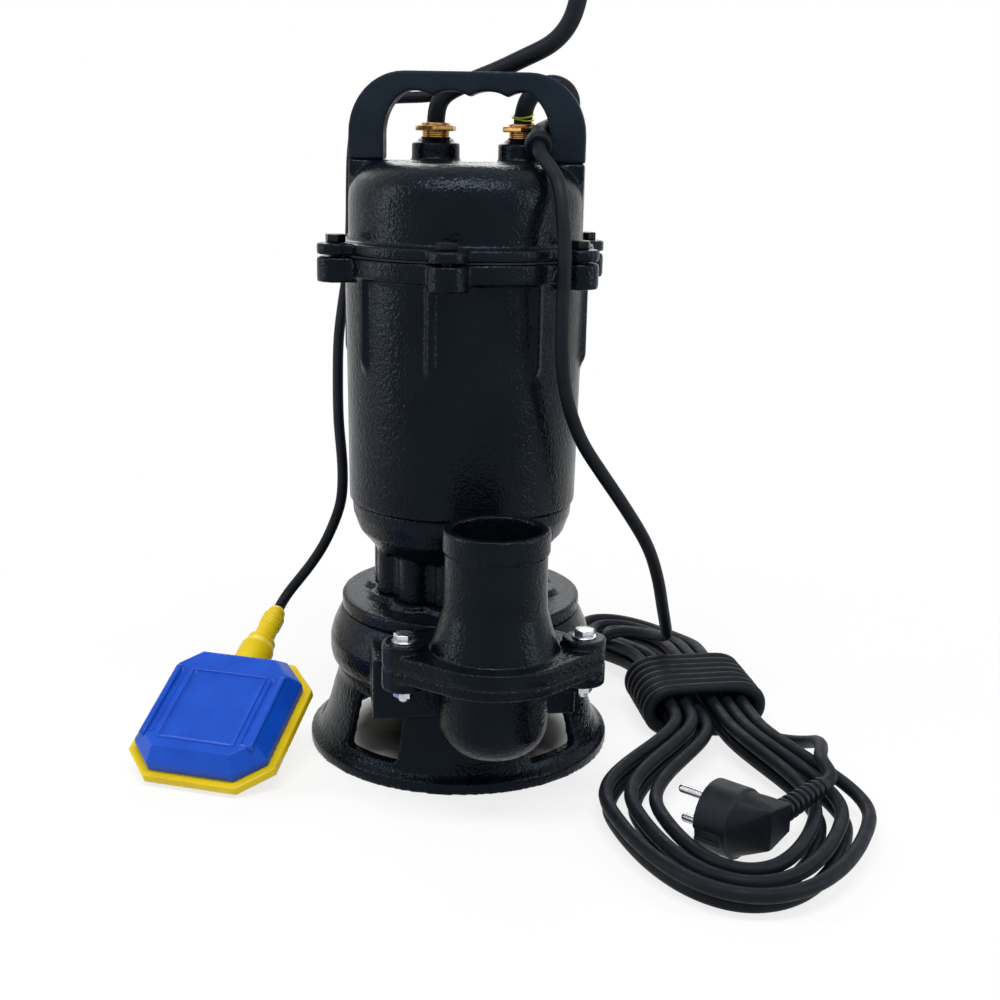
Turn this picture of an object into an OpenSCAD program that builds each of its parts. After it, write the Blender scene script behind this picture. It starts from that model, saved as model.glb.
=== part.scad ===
// Submersible sump pump with a float switch and a coiled supply cable.
// Millimetres, Z up. The origin is on the pump's axis, in the plane of its foot.
// The front, where the outlet is, faces -Y.

/* [Foot and strainer] */
// Outer radius of the foot ring
foot_r = 91.5; // [84:0.5:110]
// Height of the foot ring
foot_h = 6; // [4:0.5:9]
// Radius of the bore through the foot ring
foot_bore_r = 78; // [74:0.5:79]
// Height of the straight bore in the foot
foot_bore_h = 12; // [8:0.5:14]
// Height of the strainer, up to the casing
skirt_h = 50; // [46:0.5:66]
// Outer radius of the strainer where it meets the casing
skirt_top_r = 74.5; // [71:0.5:79]
// Wall of the strainer
skirt_wall = 5; // [3.5:0.5:6]
// Thickness of the strainer's deck
deck_t = 7; // [6:0.5:9]
// Angle that each strainer window spans
window_span = 27; // [15:1:30]

/* [Casing] */
// Largest radius of the casing
casing_r = 79; // [77:0.5:88]
// Radius of the impeller chamber
chamber_r = 61; // [56:0.5:62]
// Height of the casing
casing_h = 34.7; // [33:0.1:42]
// Thickness of the casing's floor
casing_floor = 4; // [3:0.5:6]
// Radius of the opening in the casing's floor
floor_hole_r = 42; // [36:0.5:44]
// Radius of the suction plate
suction_plate_r = 47.5; // [46:0.5:48.5]
// Radius of the suction eye
eye_r = 21; // [14:0.5:26]
// Radius of the lid's disc
lid_r = 71.8; // [70:0.1:78]
// Thickness of the lid's disc
lid_t = 8.6; // [6:0.1:12]
// Height of the raised pad on the lid
lid_pad_h = 3.7; // [2:0.1:6]

/* [Outlet] */
// How far the outlet's direction is turned from the front
outlet_turn = 13; // [0:1:25]
// Sideways offset of the outlet from the axis
outlet_x = 7.9; // [4:0.1:14]
// Distance of the outlet's axis from the pump's axis, along its direction
outlet_y = 104; // [104:0.5:116]
// Outer radius of the spout's collar
spout_r = 28.8; // [27:0.1:31]
// Radius of the bore of the spout
spout_bore_r = 24; // [20:0.5:24.5]
// Height of the spout's top above the foot
spout_top = 160; // [136:1:176]
// Height of the spout's collar
collar_h = 13; // [8:0.5:20]
// Radius of the flare at the foot of the spout
spout_flare_r = 34.5; // [33:0.5:36]
// Radius of the elbow's cup
cup_r = 29.8; // [29:0.1:30.5]
// Height of the cup's bottom above the foot
cup_bottom = 33.5; // [28:0.5:38]
// Distance between the outlet flange's bolts
outlet_pitch = 98; // [96:1:108]
// Thickness of the elbow's flange
elbow_flange_t = 6; // [5:0.5:9]
// Thickness of the spout's flange
spout_flange_t = 8; // [6:0.5:12]
// Thickness of the outlet gasket
outlet_gasket_t = 0.8; // [0.5:0.1:2]
// Radius of the middle of the outlet's flanges
outlet_flange_r = 44; // [40:0.5:45]
// Distance of the joining block's front face from the pump's axis
block_front = 84; // [80:0.5:86]
// Half width of the block that joins the casing to the outlet
block_half_w = 57; // [54:1:60]

/* [Neck and motor] */
// Radius out to the crests of the neck's columns
neck_r = 53; // [50:0.5:56]
// Height of the neck
neck_h = 26; // [22:0.5:34]
// Number of columns round the neck
neck_columns = 12; // [8:1:14]
// Height of the cup under the motor
bracket_cup_h = 29; // [26:0.5:36]
// Outer radius of the motor housing at its foot
housing_r = 67; // [66:0.5:72]
// Outer radius of the motor housing at its flange
housing_top_r = 69; // [68:0.5:73]
// Radius of the housing's bore
housing_bore_r = 60; // [58:0.5:61]
// Height of the motor housing
housing_h = 143; // [135:1:170]
// Radius of the housing's flange
flange_r = 73.5; // [72:0.5:76]
// Thickness of the housing's flange
housing_flange_t = 11; // [8:0.5:14]
// Width of the ribs on the housing's side
rib_w = 4.6; // [3:0.2:8]
// How far below the flange's top the ribs reach
rib_h = 66; // [40:1:80]
// How far the ribs stand out past the housing
rib_out = 2.4; // [1:0.1:3]
// Angle of each rib, which stand clear of the lugs' corners
rib_angles = [-136.5, -98, -48.5, -3, 44, 87, 132, 177];
// Height of the housing's lugs
lug_h = 14; // [11:0.5:18]
// Thickness of the cover's flange
cover_flange_t = 6.5; // [5:0.5:9]
// Number of lugs round the flange
lugs = 6; // [4:1:8]
// Radius of the circle that the cover's bolts lie on
lug_pitch_r = 78; // [77:0.5:81]
// Radius of a lug
lug_r = 10.5; // [9:0.5:12]
// Thickness of the cover's gasket
cover_gasket_t = 1; // [0.5:0.1:2]

/* [Cover and handle] */
// Radius of the cover's dome
dome_r = 67; // [65:0.5:70]
// Height of the dome above its flange
dome_h = 44.5; // [40:0.5:60]
// Radius of the dome's rounded corner
dome_corner = 21; // [14:0.5:26]
// Wall of the cover
cover_wall = 7; // [5:0.5:9]
// Thickness of the web that carries the handle
web_t = 14; // [10:0.5:18]
// Height of the handle above the web
handle_h = 48.5; // [44:0.5:70]
// Width of the handle
handle_w = 134; // [124:1:134]
// Thickness of the handle
handle_t = 14; // [10:0.5:18]
// Width of each handle post
post_w = 20; // [16:0.5:24]
// Distance between the finger hollows
finger_pitch = 21.1; // [18:0.1:23]

/* [Cable glands] */
// Place of the float cable's gland across the pump
float_gland_x = -21; // [-26:0.5:-18]
// Place of the supply cable's gland across the pump
supply_gland_x = 29.5; // [26:0.5:32]
// Distance of the glands behind the axis
gland_y = 22; // [21:0.5:26]
// Radius of a gland boss
boss_r = 14; // [12:0.5:16]
// Height of a gland boss above the web
boss_h = 13; // [10:0.5:18]
// Width of a gland nut across its flats
nut_af = 22; // [19:0.5:24]
// Height of a gland nut
nut_h = 8; // [6:0.5:12]

/* [Shaft and bearings] */
// Radius of the shaft in its bearings
shaft_r = 7.5; // [6:0.1:7.9]
// Radius of the shaft in the rotor
rotor_bore_r = 10; // [9:0.1:12]
// Outer radius of the bearings
bearing_r = 17.5; // [16:0.1:19]
// Width of the bearings
bearing_w = 11; // [9:0.5:13]
// Number of balls in each bearing
bearing_ball_count = 8; // [6:1:9]
// Length of the rotor and stator cores
core_h = 60; // [45:1:70]
// Outer radius of the rotor
rotor_r = 30; // [26:0.5:33]
// Air gap between the rotor and the stator
air_gap = 0.5; // [0.3:0.1:1]
// Number of stator slots
stator_slots = 24; // [12:6:30]

/* [Impeller] */
// Radius of the impeller
impeller_r = 50; // [40:0.5:53]
// Height of the impeller's vanes
vane_h = 15; // [10:0.5:17]
// Number of vanes
vanes = 6; // [2:1:8]

/* [Float] */
// Width of the float
float_w = 91.6; // [80:0.2:100]
// Length of the float
float_l = 95.6; // [84:0.2:104]
// Cut off each corner of the float
float_corner = 17.5; // [10:0.5:24]
// Height of the float's upper shell
float_top_h = 14.8; // [12:0.1:20]
// Height of the rim of the float's lower shell
float_rim_h = 5.5; // [4:0.1:8]
// Depth of the float's lower shell
float_depth = 14; // [12:0.1:14]
// Radius of the float's neck where it leaves the shells
float_neck_r = 10.5; // [9:0.1:12]
// Radius of the ball that trips the float's switch
float_ball_r = 6; // [4:0.1:6.5]
// How far that ball rolls
float_ball_travel = 14; // [10:0.5:16]

/* [Cables and plug] */
// Diameter of the supply cable
supply_d = 7.7; // [6:0.1:8.2]
// Diameter of the float's cable
float_d = 6.7; // [5:0.1:7.5]
// Diameter of the rubber sleeves at the glands
sleeve_d = 10.6; // [9:0.1:11]
// Radius of the plug's body
plug_r = 19; // [17:0.1:19.4]
// Distance between the plug's pins
pin_pitch = 19; // [17:0.1:20]
// Diameter of the plug's pins
pin_d = 4.8; // [4:0.1:5]
// Length of the plug's pins
pin_l = 19; // [15:0.1:20]
// Turns of the hank
hank_turns = 5.3; // [5.3:0.1:5.4]
// Turns of the cable that bind the hank
wrap_turns = 7; // [4:1:7]

/* [Hidden] */
$fn = 64;
eps = 0.01;
fit = 0.05;      // radial clearance of parts that are pressed or turn in one another
clear = 0.3;     // clearance between curved faces that don't fit together

// Levels, from the foot up
z_deck = skirt_h - deck_t;
z_casing = skirt_h;
z_lid = z_casing + casing_h;
z_pad = z_lid + lid_t;
z_neck = z_pad + lid_pad_h;
z_cup = z_neck + neck_h;
z_housing = z_cup + bracket_cup_h;
z_flange = z_housing + housing_h;
z_cover = z_flange + cover_gasket_t;
z_dome = z_cover + cover_flange_t;
z_web = z_dome + dome_h;
z_boss = z_web + boss_h;
z_gland = z_boss + nut_h;
block_low = z_casing - 5.5;
z_handle = z_web + handle_h;

// Outlet levels
z_elbow = z_lid;
z_spout = z_elbow + outlet_gasket_t;
z_spout_flange = z_spout + spout_flange_t;

// Shaft levels
z_lower_bearing = z_housing - 13;
z_bracket_seat = z_flange - 19;
z_upper_bearing = z_bracket_seat - 8;
z_core = z_housing + 33;
z_impeller = z_casing + casing_floor + 3;
z_impeller_top = z_impeller + vane_h;
impeller_plate = 4;

lug_angles = [for (i = [0:lugs - 1]) -90 + 360 / lugs * i];
window_angles = [-90 + outlet_turn - 44.5, -90 + outlet_turn + 36.5,
    outlet_turn + 15, outlet_turn + 90, outlet_turn + 165];
casing_screw_angles = [-90 + outlet_turn - 66, -90 + outlet_turn + 66,
    outlet_turn + 52, outlet_turn + 128];
casing_screw_r = 65.4;
casing_screw_d = 5;
bolt_d = 6;
web_x = handle_w / 2;
post_x = (handle_w - post_w) / 2;
handle_screw_d = 5;

// ---- Helpers --------------------------------------------------------------------------

module at_outlet() {
    rotate([0, 0, outlet_turn])
        translate([outlet_x, -outlet_y, 0])
            children();
}

module ring(outer, inner, height) {
    difference() {
        cylinder(r = outer, h = height);
        translate([0, 0, -1]) cylinder(r = inner, h = height + 2);
    }
}

module at_angles(angles, radius) {
    for (a = angles)
        rotate([0, 0, a]) translate([radius, 0, 0]) children();
}

// Hexagon of a given width across its flats
module hexagon(af, height) {
    cylinder(d = af / cos(30), h = height, $fn = 6);
}

// Side of the lobed plate: the straight flanks that touch the middle disc and a lobe
module lobed_plate(middle, lobe, pitch, height) {
    d = pitch / 2;
    ca = (middle - lobe) / d;
    sa = sqrt(1 - ca * ca) - 0.001;
    cylinder(r = middle, h = height);
    for (side = [-1, 1])
        translate([side * d, 0, 0]) cylinder(r = lobe, h = height);
    linear_extrude(height)
        polygon([[middle * ca, middle * sa], [d + lobe * ca, lobe * sa],
            [d + lobe * ca, -lobe * sa], [middle * ca, -middle * sa],
            [-middle * ca, -middle * sa], [-d - lobe * ca, -lobe * sa],
            [-d - lobe * ca, lobe * sa], [-middle * ca, middle * sa]]);
}

// Points of a quarter ellipse, from its X axis to its Y axis when mirror_x is 1
function quarter(cx, cy, rx, ry, mirror_x = 1, steps = 10) =
    [for (i = [0:steps]) [cx + mirror_x * rx * cos(90 * i / steps), cy + ry * sin(90 * i / steps)]];

function reversed(list) = [for (i = [len(list) - 1:-1:0]) list[i]];

function unit(v) = v / norm(v);

// Direction of a route at one of its points
function heading(points, i) =
    unit(points[min(i + 1, len(points) - 1)] - points[max(i - 1, 0)]);

// Side vector carried along a route without twisting
function sides_along(points) =
    [for (i = 0, t = heading(points, 0),
            s = unit(cross(t, abs(t.z) < 0.9 ? [0, 0, 1] : [0, 1, 0]));
        i < len(points);
        i = i + 1,
            t = heading(points, min(i, len(points) - 1)),
            s = unit(s - (s * t) * t))
        s];

// Tube swept along a route, with triangular faces and closed ends
module tube(points, radius, count) {
    sides = sides_along(points);
    n = len(points);
    rings = [for (i = [0:n - 1])
        let (t = heading(points, i), up = cross(t, sides[i]))
            for (k = [0:count - 1])
                points[i] + radius * (cos(360 * k / count) * sides[i] + sin(360 * k / count) * up)];
    walls = [for (i = [0:n - 2], k = [0:count - 1])
        let (a = i * count + k, b = i * count + (k + 1) % count)
            each [[a, a + count, b], [b, a + count, b + count]]];
    start_cap = [for (k = [1:count - 2]) [0, k, k + 1]];
    last = (n - 1) * count;
    end_cap = [for (k = [1:count - 2]) [last, last + k + 1, last + k]];
    polyhedron(points = rings, faces = concat(walls, start_cap, end_cap), convexity = 8);
}

// Least distance between stretches of a route that are far apart along it
function least_gap(points, apart, diameter) =
    min([for (i = [0:len(points) - 1], j = [i + apart:1:len(points) - 1])
        norm(points[i] - points[j])]) - diameter;

// ---- Foot, casing and outlet ------------------------------------------------------------

cup_gap = 0.8;          // room round the elbow's cup
screw_head_d = 7.6;
screw_head_t = 4;

module strainer_base() {
    color([0.05, 0.05, 0.06]) difference() {
        rotate_extrude()
            polygon([[foot_bore_r, 0], [foot_r, 0], [foot_r, foot_h],
                [foot_r - 4.5, foot_h + 3], [foot_r - 8.5, foot_h + 10],
                [80, 25], [76.5, z_deck - 5], [skirt_top_r, z_deck + 1],
                [skirt_top_r, skirt_h], [suction_plate_r - 9, skirt_h],
                [suction_plate_r - 9, z_deck], [skirt_top_r - skirt_wall, z_deck],
                [76.5 - skirt_wall, z_deck - 5], [80 - skirt_wall, 25],
                [foot_bore_r, foot_bore_h]]);
        at_outlet() translate([0, 0, cup_bottom + 7])
            cylinder(r = cup_r + cup_gap, h = skirt_h);
        translate([0, 0, skirt_h - 4])
            cylinder(r = suction_plate_r + clear, h = 5);
        for (a = window_angles) rotate([0, 0, a]) window();
        at_angles(casing_screw_angles, casing_screw_r) translate([0, 0, z_deck - 1])
            cylinder(d = casing_screw_d + 2 * clear, h = deck_t + 2);
    }
}

// Window through the strainer's wall, centred on +X
module window() {
    half = window_span / 2;
    reach = foot_r + 10;
    near = 66;
    translate([0, 0, foot_bore_h + 0.5])
        linear_extrude(z_deck - foot_bore_h - 0.5)
            polygon([near * [cos(half), sin(half)], reach * [cos(half), sin(half)],
                reach * [cos(half), -sin(half)], near * [cos(half), -sin(half)]]);
}

module suction_plate() {
    color([0.1, 0.1, 0.11]) translate([0, 0, z_casing - 4]) difference() {
        union() {
            cylinder(r = suction_plate_r, h = 4);
            cylinder(r = floor_hole_r - clear, h = 4 + casing_floor);
        }
        translate([0, 0, -1]) cylinder(r = eye_r, h = 12);
        translate([0, 0, -1]) cylinder(r1 = eye_r + 5, r2 = eye_r, h = 5);
    }
}

module volute_casing() {
    color([0.05, 0.05, 0.06]) difference() {
        union() {
            translate([0, 0, z_casing]) rotate_extrude()
                polygon([[floor_hole_r, 0], [casing_r - 4, 0], [casing_r - 1, 4],
                    [casing_r, 9], [casing_r, 17], [casing_r - 2, 24], [lid_r + 2, 31],
                    [lid_r, casing_h], [chamber_r, casing_h], [chamber_r, casing_floor],
                    [floor_hole_r, casing_floor]]);
            rotate([0, 0, outlet_turn]) translate([-block_half_w, -block_front, block_low])
                cube([2 * block_half_w, block_front - 50, z_elbow - elbow_flange_t - block_low + 1]);
            at_outlet() elbow();
        }
        translate([0, 0, z_casing + casing_floor])
            cylinder(r = chamber_r, h = casing_h);
        translate([0, 0, block_low - 1]) cylinder(r = floor_hole_r, h = 12);
        translate([0, 0, block_low - 1])
            cylinder(r = skirt_top_r + clear, h = z_casing - block_low + 1);
        at_outlet() elbow_bore();
        at_angles(casing_screw_angles, casing_screw_r) translate([0, 0, z_casing - 1])
            cylinder(d = casing_screw_d + 2 * fit, h = casing_h + 2);
        translate([0, 0, z_lid]) cylinder(r = lid_r + clear, h = 40);
    }
}

// Elbow in the outlet's own frame: the cup, its flange and the arm behind it
module elbow() {
    corner = 18;
    rotate_extrude()
        polygon(concat([[0, cup_bottom], [cup_r - corner, cup_bottom]],
            [for (a = [-80:10:0])
                [cup_r - corner + corner * cos(a), cup_bottom + corner + corner * sin(a)]],
            [[cup_r, z_elbow - 2], [0, z_elbow - 2]]));
    translate([0, 0, z_elbow - elbow_flange_t])
        lobed_plate(outlet_flange_r, lobe_r, outlet_pitch, elbow_flange_t);
    for (side = [-1, 1]) translate([side * outlet_pitch / 2, 0, z_elbow - lobe_pad]) {
        cylinder(r = lobe_r, h = lobe_pad);
        translate([-4, 0, 1]) cube([8, outlet_y - block_front + 4, lobe_pad - 2]);
    }
    translate([-20, 4, z_casing + 1]) cube([40, 44, z_elbow - z_casing - 2]);
}

module elbow_bore() {
    translate([0, 0, cup_bottom + 6 + spout_bore_r]) {
        sphere(r = spout_bore_r - 0.5);
        cylinder(r = spout_bore_r, h = 60);
    }
    translate([0, 0, z_casing + casing_floor + 11.5]) rotate([-90, 0, 0])
        cylinder(r = 11.5, h = outlet_y - 40);
    for (side = [-1, 1]) translate([side * outlet_pitch / 2, 0, z_elbow - lobe_pad - 1])
        cylinder(d = bolt_d + 2 * clear, h = lobe_pad + 3);
}

module volute_lid() {
    color([0.05, 0.05, 0.06]) difference() {
        union() {
            translate([0, 0, z_lid]) cylinder(r = lid_r, h = lid_t);
            translate([0, 0, z_lid - 4]) cylinder(r = chamber_r - fit, h = 4);
            translate([0, 0, z_pad]) lobes(neck_r + 5, 13, lid_pad_h);
        }
        translate([0, 0, z_lid - 5]) cylinder(r = 12, h = 40);
        translate([0, 0, z_neck - 7]) cylinder(r = 15 + fit, h = 8);
        at_angles(casing_screw_angles, casing_screw_r) translate([0, 0, z_lid - 1])
            cylinder(d = casing_screw_d + 2 * fit, h = 7);
    }
}

// Disc with rounded columns round its edge
module lobes(outer, lobe, height) {
    cylinder(r = outer - lobe * 0.45, h = height);
    for (i = [0:neck_columns - 1])
        rotate([0, 0, 360 / neck_columns * i]) translate([outer - lobe, 0, 0])
            cylinder(r = lobe, h = height);
}

// Room for the lid's disc behind the outlet's flanges, in the outlet's own frame
module lid_clearance() {
    translate([-outlet_x, outlet_y, z_lid - 1]) cylinder(r = lid_r + 0.6, h = z_neck - z_lid + 2);
}

module discharge_spout() {
    foot_z = z_spout_flange;
    neck_z = foot_z + 22;
    color([0.05, 0.05, 0.06]) at_outlet() difference() {
        union() {
            translate([0, 0, z_spout])
                lobed_plate(outlet_flange_r, lobe_r, outlet_pitch, spout_flange_t);
            for (side = [-1, 1]) translate([side * outlet_pitch / 2, 0, z_spout])
                cylinder(r = lobe_r, h = spout_pad);
            rotate_extrude()
                polygon([[spout_bore_r - 2, z_spout], [spout_flare_r, z_spout],
                    [spout_flare_r, foot_z + 2], [spout_flare_r - 2.5, foot_z + 9],
                    [spout_r - 0.4, neck_z], [spout_r - 1.2, neck_z + 14],
                    [spout_r - 1.2, spout_top - collar_h], [spout_r, spout_top - collar_h + 0.8],
                    [spout_r, spout_top], [spout_bore_r - 2, spout_top]]);
        }
        translate([0, 0, z_spout - 1]) cylinder(r = spout_bore_r, h = spout_top);
        for (side = [-1, 1]) translate([side * outlet_pitch / 2, 0, z_spout - 1])
            cylinder(d = bolt_d + 2 * clear, h = spout_pad + 2);
        lid_clearance();
    }
}

module discharge_gasket() {
    color([0.12, 0.12, 0.12]) at_outlet() translate([0, 0, z_elbow]) difference() {
        lobed_plate(outlet_flange_r - 0.6, lobe_r - 0.6, outlet_pitch, outlet_gasket_t);
        translate([0, 0, -z_elbow]) lid_clearance();
        translate([0, 0, -1]) cylinder(r = spout_bore_r, h = 5);
        for (side = [-1, 1]) translate([side * outlet_pitch / 2, 0, -1])
            cylinder(d = bolt_d + 2 * clear, h = 5);
    }
}

nut_t = 5;
lobe_r = 12;            // radius of the flange's lobes
lobe_pad = 13;          // height of the lobes' pads under the elbow's flange
spout_pad = 12.5;       // height of the lobes' pads on the spout's flange
head_t = 4.5;
head_af = 10;

module discharge_bolts() {
    length = outlet_gasket_t + spout_pad + lobe_pad + nut_t + 3;
    color([0.75, 0.76, 0.78]) at_outlet()
        for (side = [-1, 1]) translate([side * outlet_pitch / 2, 0, z_spout + spout_pad]) {
            hexagon(head_af, head_t);
            translate([0, 0, -length]) cylinder(d = bolt_d, h = length + 1);
        }
}

module discharge_nuts() {
    color([0.75, 0.76, 0.78]) at_outlet()
        for (side = [-1, 1])
            translate([side * outlet_pitch / 2, 0, z_elbow - lobe_pad - nut_t])
                difference() {
                    hexagon(head_af, nut_t);
                    translate([0, 0, -1]) cylinder(d = bolt_d + 2 * fit, h = nut_t + 2);
                }
}

module casing_screws() {
    color([0.15, 0.15, 0.16])
        at_angles(casing_screw_angles, casing_screw_r) {
            translate([0, 0, z_deck - screw_head_t])
                cylinder(d = screw_head_d, h = screw_head_t, $fn = 32);
            translate([0, 0, z_deck - 1]) cylinder(d = casing_screw_d, h = z_lid - z_deck + 6);
        }
}

// ---- Neck, motor and cover -----------------------------------------------------------

module lower_bracket() {
    cup_rim = housing_r - 1.5;
    color([0.05, 0.05, 0.06]) difference() {
        union() {
            translate([0, 0, z_neck]) lobes(neck_r, 11, neck_h + 1);
            translate([0, 0, z_cup]) rotate_extrude()
                polygon([[0, 0], [neck_r - 1, 0], [61.3, bracket_cup_h - 18],
                    [cup_rim - 0.7, bracket_cup_h - 8], [cup_rim, bracket_cup_h],
                    [housing_bore_r - fit, bracket_cup_h],
                    [housing_bore_r - fit, bracket_cup_h + 5], [0, bracket_cup_h + 5]]);
        }
        translate([0, 0, z_neck + 6]) cylinder(r = 34, h = neck_h + 4);
        translate([0, 0, z_neck - 1]) cylinder(r = 15 + fit, h = 20);
        translate([0, 0, z_neck]) cylinder(r = 9, h = 80);
        translate([0, 0, z_lower_bearing]) cylinder(r = bearing_r + fit, h = 30);
        translate([0, 0, z_housing + 1]) cylinder(r = housing_bore_r - 8, h = 10);
    }
}

module motor_housing() {
    color([0.05, 0.05, 0.06]) difference() {
        union() {
            translate([0, 0, z_housing]) cylinder(r1 = housing_r, r2 = housing_top_r, h = housing_h);
            translate([0, 0, z_flange - housing_flange_t])
                cylinder(r = flange_r, h = housing_flange_t);
            at_angles(lug_angles, lug_pitch_r) translate([0, 0, z_flange - lug_h])
                cylinder(r = lug_r, h = lug_h);
            for (a = lug_angles) rotate([0, 0, a]) translate([50, -lug_r, z_flange - lug_h])
                cube([lug_pitch_r - 50, 2 * lug_r, lug_h]);
            for (a = rib_angles) rotate([0, 0, a]) translate([0, 0, z_flange]) rotate([90, 0, 0])
                linear_extrude(rib_w, center = true) polygon([[64, -3],
                    [housing_top_r + rib_out, -3], [housing_top_r + rib_out, 10 - rib_h],
                    [housing_r, -rib_h], [64, -rib_h]]);
        }
        translate([0, 0, z_housing - 1]) cylinder(r = housing_bore_r, h = housing_h + 2);
        translate([0, 0, z_bracket_seat]) cylinder(r = housing_bore_r + 3, h = housing_h);
        at_angles(lug_angles, lug_pitch_r) translate([0, 0, z_flange - lug_h + 3])
            cylinder(d = bolt_d + 2 * fit, h = lug_h);
    }
}

module cover_gasket() {
    color([0.12, 0.12, 0.12]) translate([0, 0, z_flange]) difference() {
        cylinder(r = flange_r - 0.5, h = cover_gasket_t);
        translate([0, 0, -1]) cylinder(r = housing_bore_r + 3 + clear, h = 5);
        at_angles(lug_angles, lug_pitch_r) translate([0, 0, -1])
            cylinder(d = bolt_d + 3, h = 5);
    }
}

// Dome profile at a distance inside the outer face
function dome_profile(inset) =
    let (r = dome_r - inset, corner = dome_corner - inset, top = z_web - 1 - inset)
        concat([[0, z_cover - (inset > 0 ? 20 : 0)], [r, z_cover - (inset > 0 ? 20 : 0)]],
            [for (a = [0:10:90]) [r - corner + corner * cos(a), top - corner + corner * sin(a)]],
            [[0, top]]);

module top_cover() {
    color([0.05, 0.05, 0.06]) difference() {
        union() {
            rotate_extrude() polygon(dome_profile(0));
            translate([0, 0, z_cover]) cylinder(r = flange_r, h = cover_flange_t);
            translate([0, 0, z_cover - 12]) cylinder(r = housing_bore_r + 3 - fit, h = 13);
            at_angles(lug_angles, lug_pitch_r) translate([0, 0, z_cover])
                cylinder(r = lug_r, h = cover_flange_t);
            for (a = lug_angles) rotate([0, 0, a]) translate([50, -lug_r, z_cover])
                cube([lug_pitch_r - 50, 2 * lug_r, cover_flange_t]);
            translate([-web_x, -web_t / 2, z_cover]) cube([2 * web_x, web_t, z_web - z_cover]);
            for (x = [float_gland_x, supply_gland_x]) translate([x, gland_y, z_web - 12]) {
                cylinder(r = boss_r, h = boss_h + 12 - 3);
                cylinder(r = boss_r - 4, h = boss_h + 12);
            }
        }
        rotate_extrude() polygon(dome_profile(cover_wall));
        for (side = [-1, 1]) translate([side * post_x, 0, z_web - 40]) {
            cylinder(r = 5.5, h = 25, $fn = 32);
            cylinder(d = handle_screw_d + 2 * fit, h = 50);
        }
        for (x = [float_gland_x, supply_gland_x]) translate([x, gland_y, z_web - 20]) {
            cylinder(d = sleeve_d + 2 * clear, h = 60);
            translate([0, 0, 18]) cylinder(r = 8.5, h = 40);
        }
        at_angles(lug_angles, lug_pitch_r) translate([0, 0, z_cover - 1])
            cylinder(d = bolt_d + 2 * clear, h = 20);
        translate([0, 0, z_cover - 13]) cylinder(r = housing_bore_r - 2, h = 15);
    }
}

module cover_bolts() {
    color([0.07, 0.07, 0.08])
        at_angles(lug_angles, lug_pitch_r) translate([0, 0, z_dome]) {
            hexagon(head_af, head_t);
            translate([0, 0, 3 - lug_h - z_dome + z_flange + 0.5])
                cylinder(d = bolt_d, h = lug_h + cover_flange_t + cover_gasket_t - 3);
        }
}

module handle() {
    inner_x = web_x - post_w;
    outer = concat([[web_x, 0]], quarter(web_x - 32, handle_h - 34, 32, 34),
        reversed(quarter(32 - web_x, handle_h - 34, 32, 34, -1)), [[-web_x, 0]]);
    limit = concat([[inner_x, -1]], quarter(inner_x - 20, handle_h - 34.5, 20, 25),
        reversed(quarter(20 - inner_x, handle_h - 34.5, 20, 25, -1)), [[-inner_x, -1]]);
    cusp_z = handle_h - 13.5;
    hollow_r = 19.9;
    color([0.11, 0.115, 0.13]) translate([0, handle_t / 2, z_web]) rotate([90, 0, 0])
        difference() {
            linear_extrude(handle_t) polygon(outer);
            translate([0, 0, -1]) intersection() {
                linear_extrude(handle_t + 2) polygon(limit);
                union() {
                    translate([-inner_x, -1, 0]) cube([2 * inner_x, cusp_z + 1, handle_t + 2]);
                    for (i = [-1.5:1:1.5]) translate([1.4 + finger_pitch * i, cusp_z - hollow_r + 3, 0])
                        cylinder(r = hollow_r, h = handle_t + 2);
                }
            }
            for (side = [-1, 1]) translate([side * post_x, -1, handle_t / 2]) rotate([-90, 0, 0])
                cylinder(d = handle_screw_d + 2 * fit, h = 19);
        }
}

module handle_screws() {
    color([0.6, 0.6, 0.62])
        for (side = [-1, 1]) translate([side * post_x, 0, z_web - 20]) {
            cylinder(d = 10, h = 5, $fn = 32);
            cylinder(d = handle_screw_d, h = 36);
        }
}

// ---- Glands -------------------------------------------------------------------------------

module gland_nuts() {
    color([0.72, 0.55, 0.28])
        for (x = [float_gland_x, supply_gland_x]) translate([x, gland_y, z_boss]) difference() {
            union() {
                cylinder(r = 8, h = nut_h - 4);
                translate([0, 0, nut_h - 5]) hexagon(nut_af, 3.4);
                translate([0, 0, nut_h - 2]) cylinder(r = 8.5, h = 2);
            }
            translate([0, 0, -1]) cylinder(d = sleeve_d + 2 * clear, h = nut_h + 2);
        }
}

module gland_seals() {
    color([0.1, 0.1, 0.1])
        for (x = [float_gland_x, supply_gland_x]) translate([x, gland_y, z_web - 2])
            ring(8.5 - fit, sleeve_d / 2 + fit, boss_h + 2);
}

// ---- Motor inside ------------------------------------------------------------------------

module stator_core() {
    color([0.45, 0.46, 0.48]) translate([0, 0, z_core]) difference() {
        cylinder(r = housing_bore_r - fit, h = core_h);
        translate([0, 0, -1]) cylinder(r = rotor_r + air_gap, h = core_h + 2);
        for (i = [0:stator_slots - 1]) rotate([0, 0, 360 / stator_slots * i])
            translate([rotor_r + 10, 0, -1]) cylinder(r = 2.4, h = core_h + 2);
    }
}

module stator_windings() {
    color([0.7, 0.38, 0.2]) {
        for (z = [z_core - 14, z_core + core_h]) translate([0, 0, z])
            ring(rotor_r + 20, rotor_r + 4, 14);
        for (i = [0:stator_slots - 1]) rotate([0, 0, 360 / stator_slots * i])
            translate([rotor_r + 10, 0, z_core - 2]) cylinder(r = 2.1, h = core_h + 4);
    }
}

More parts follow.
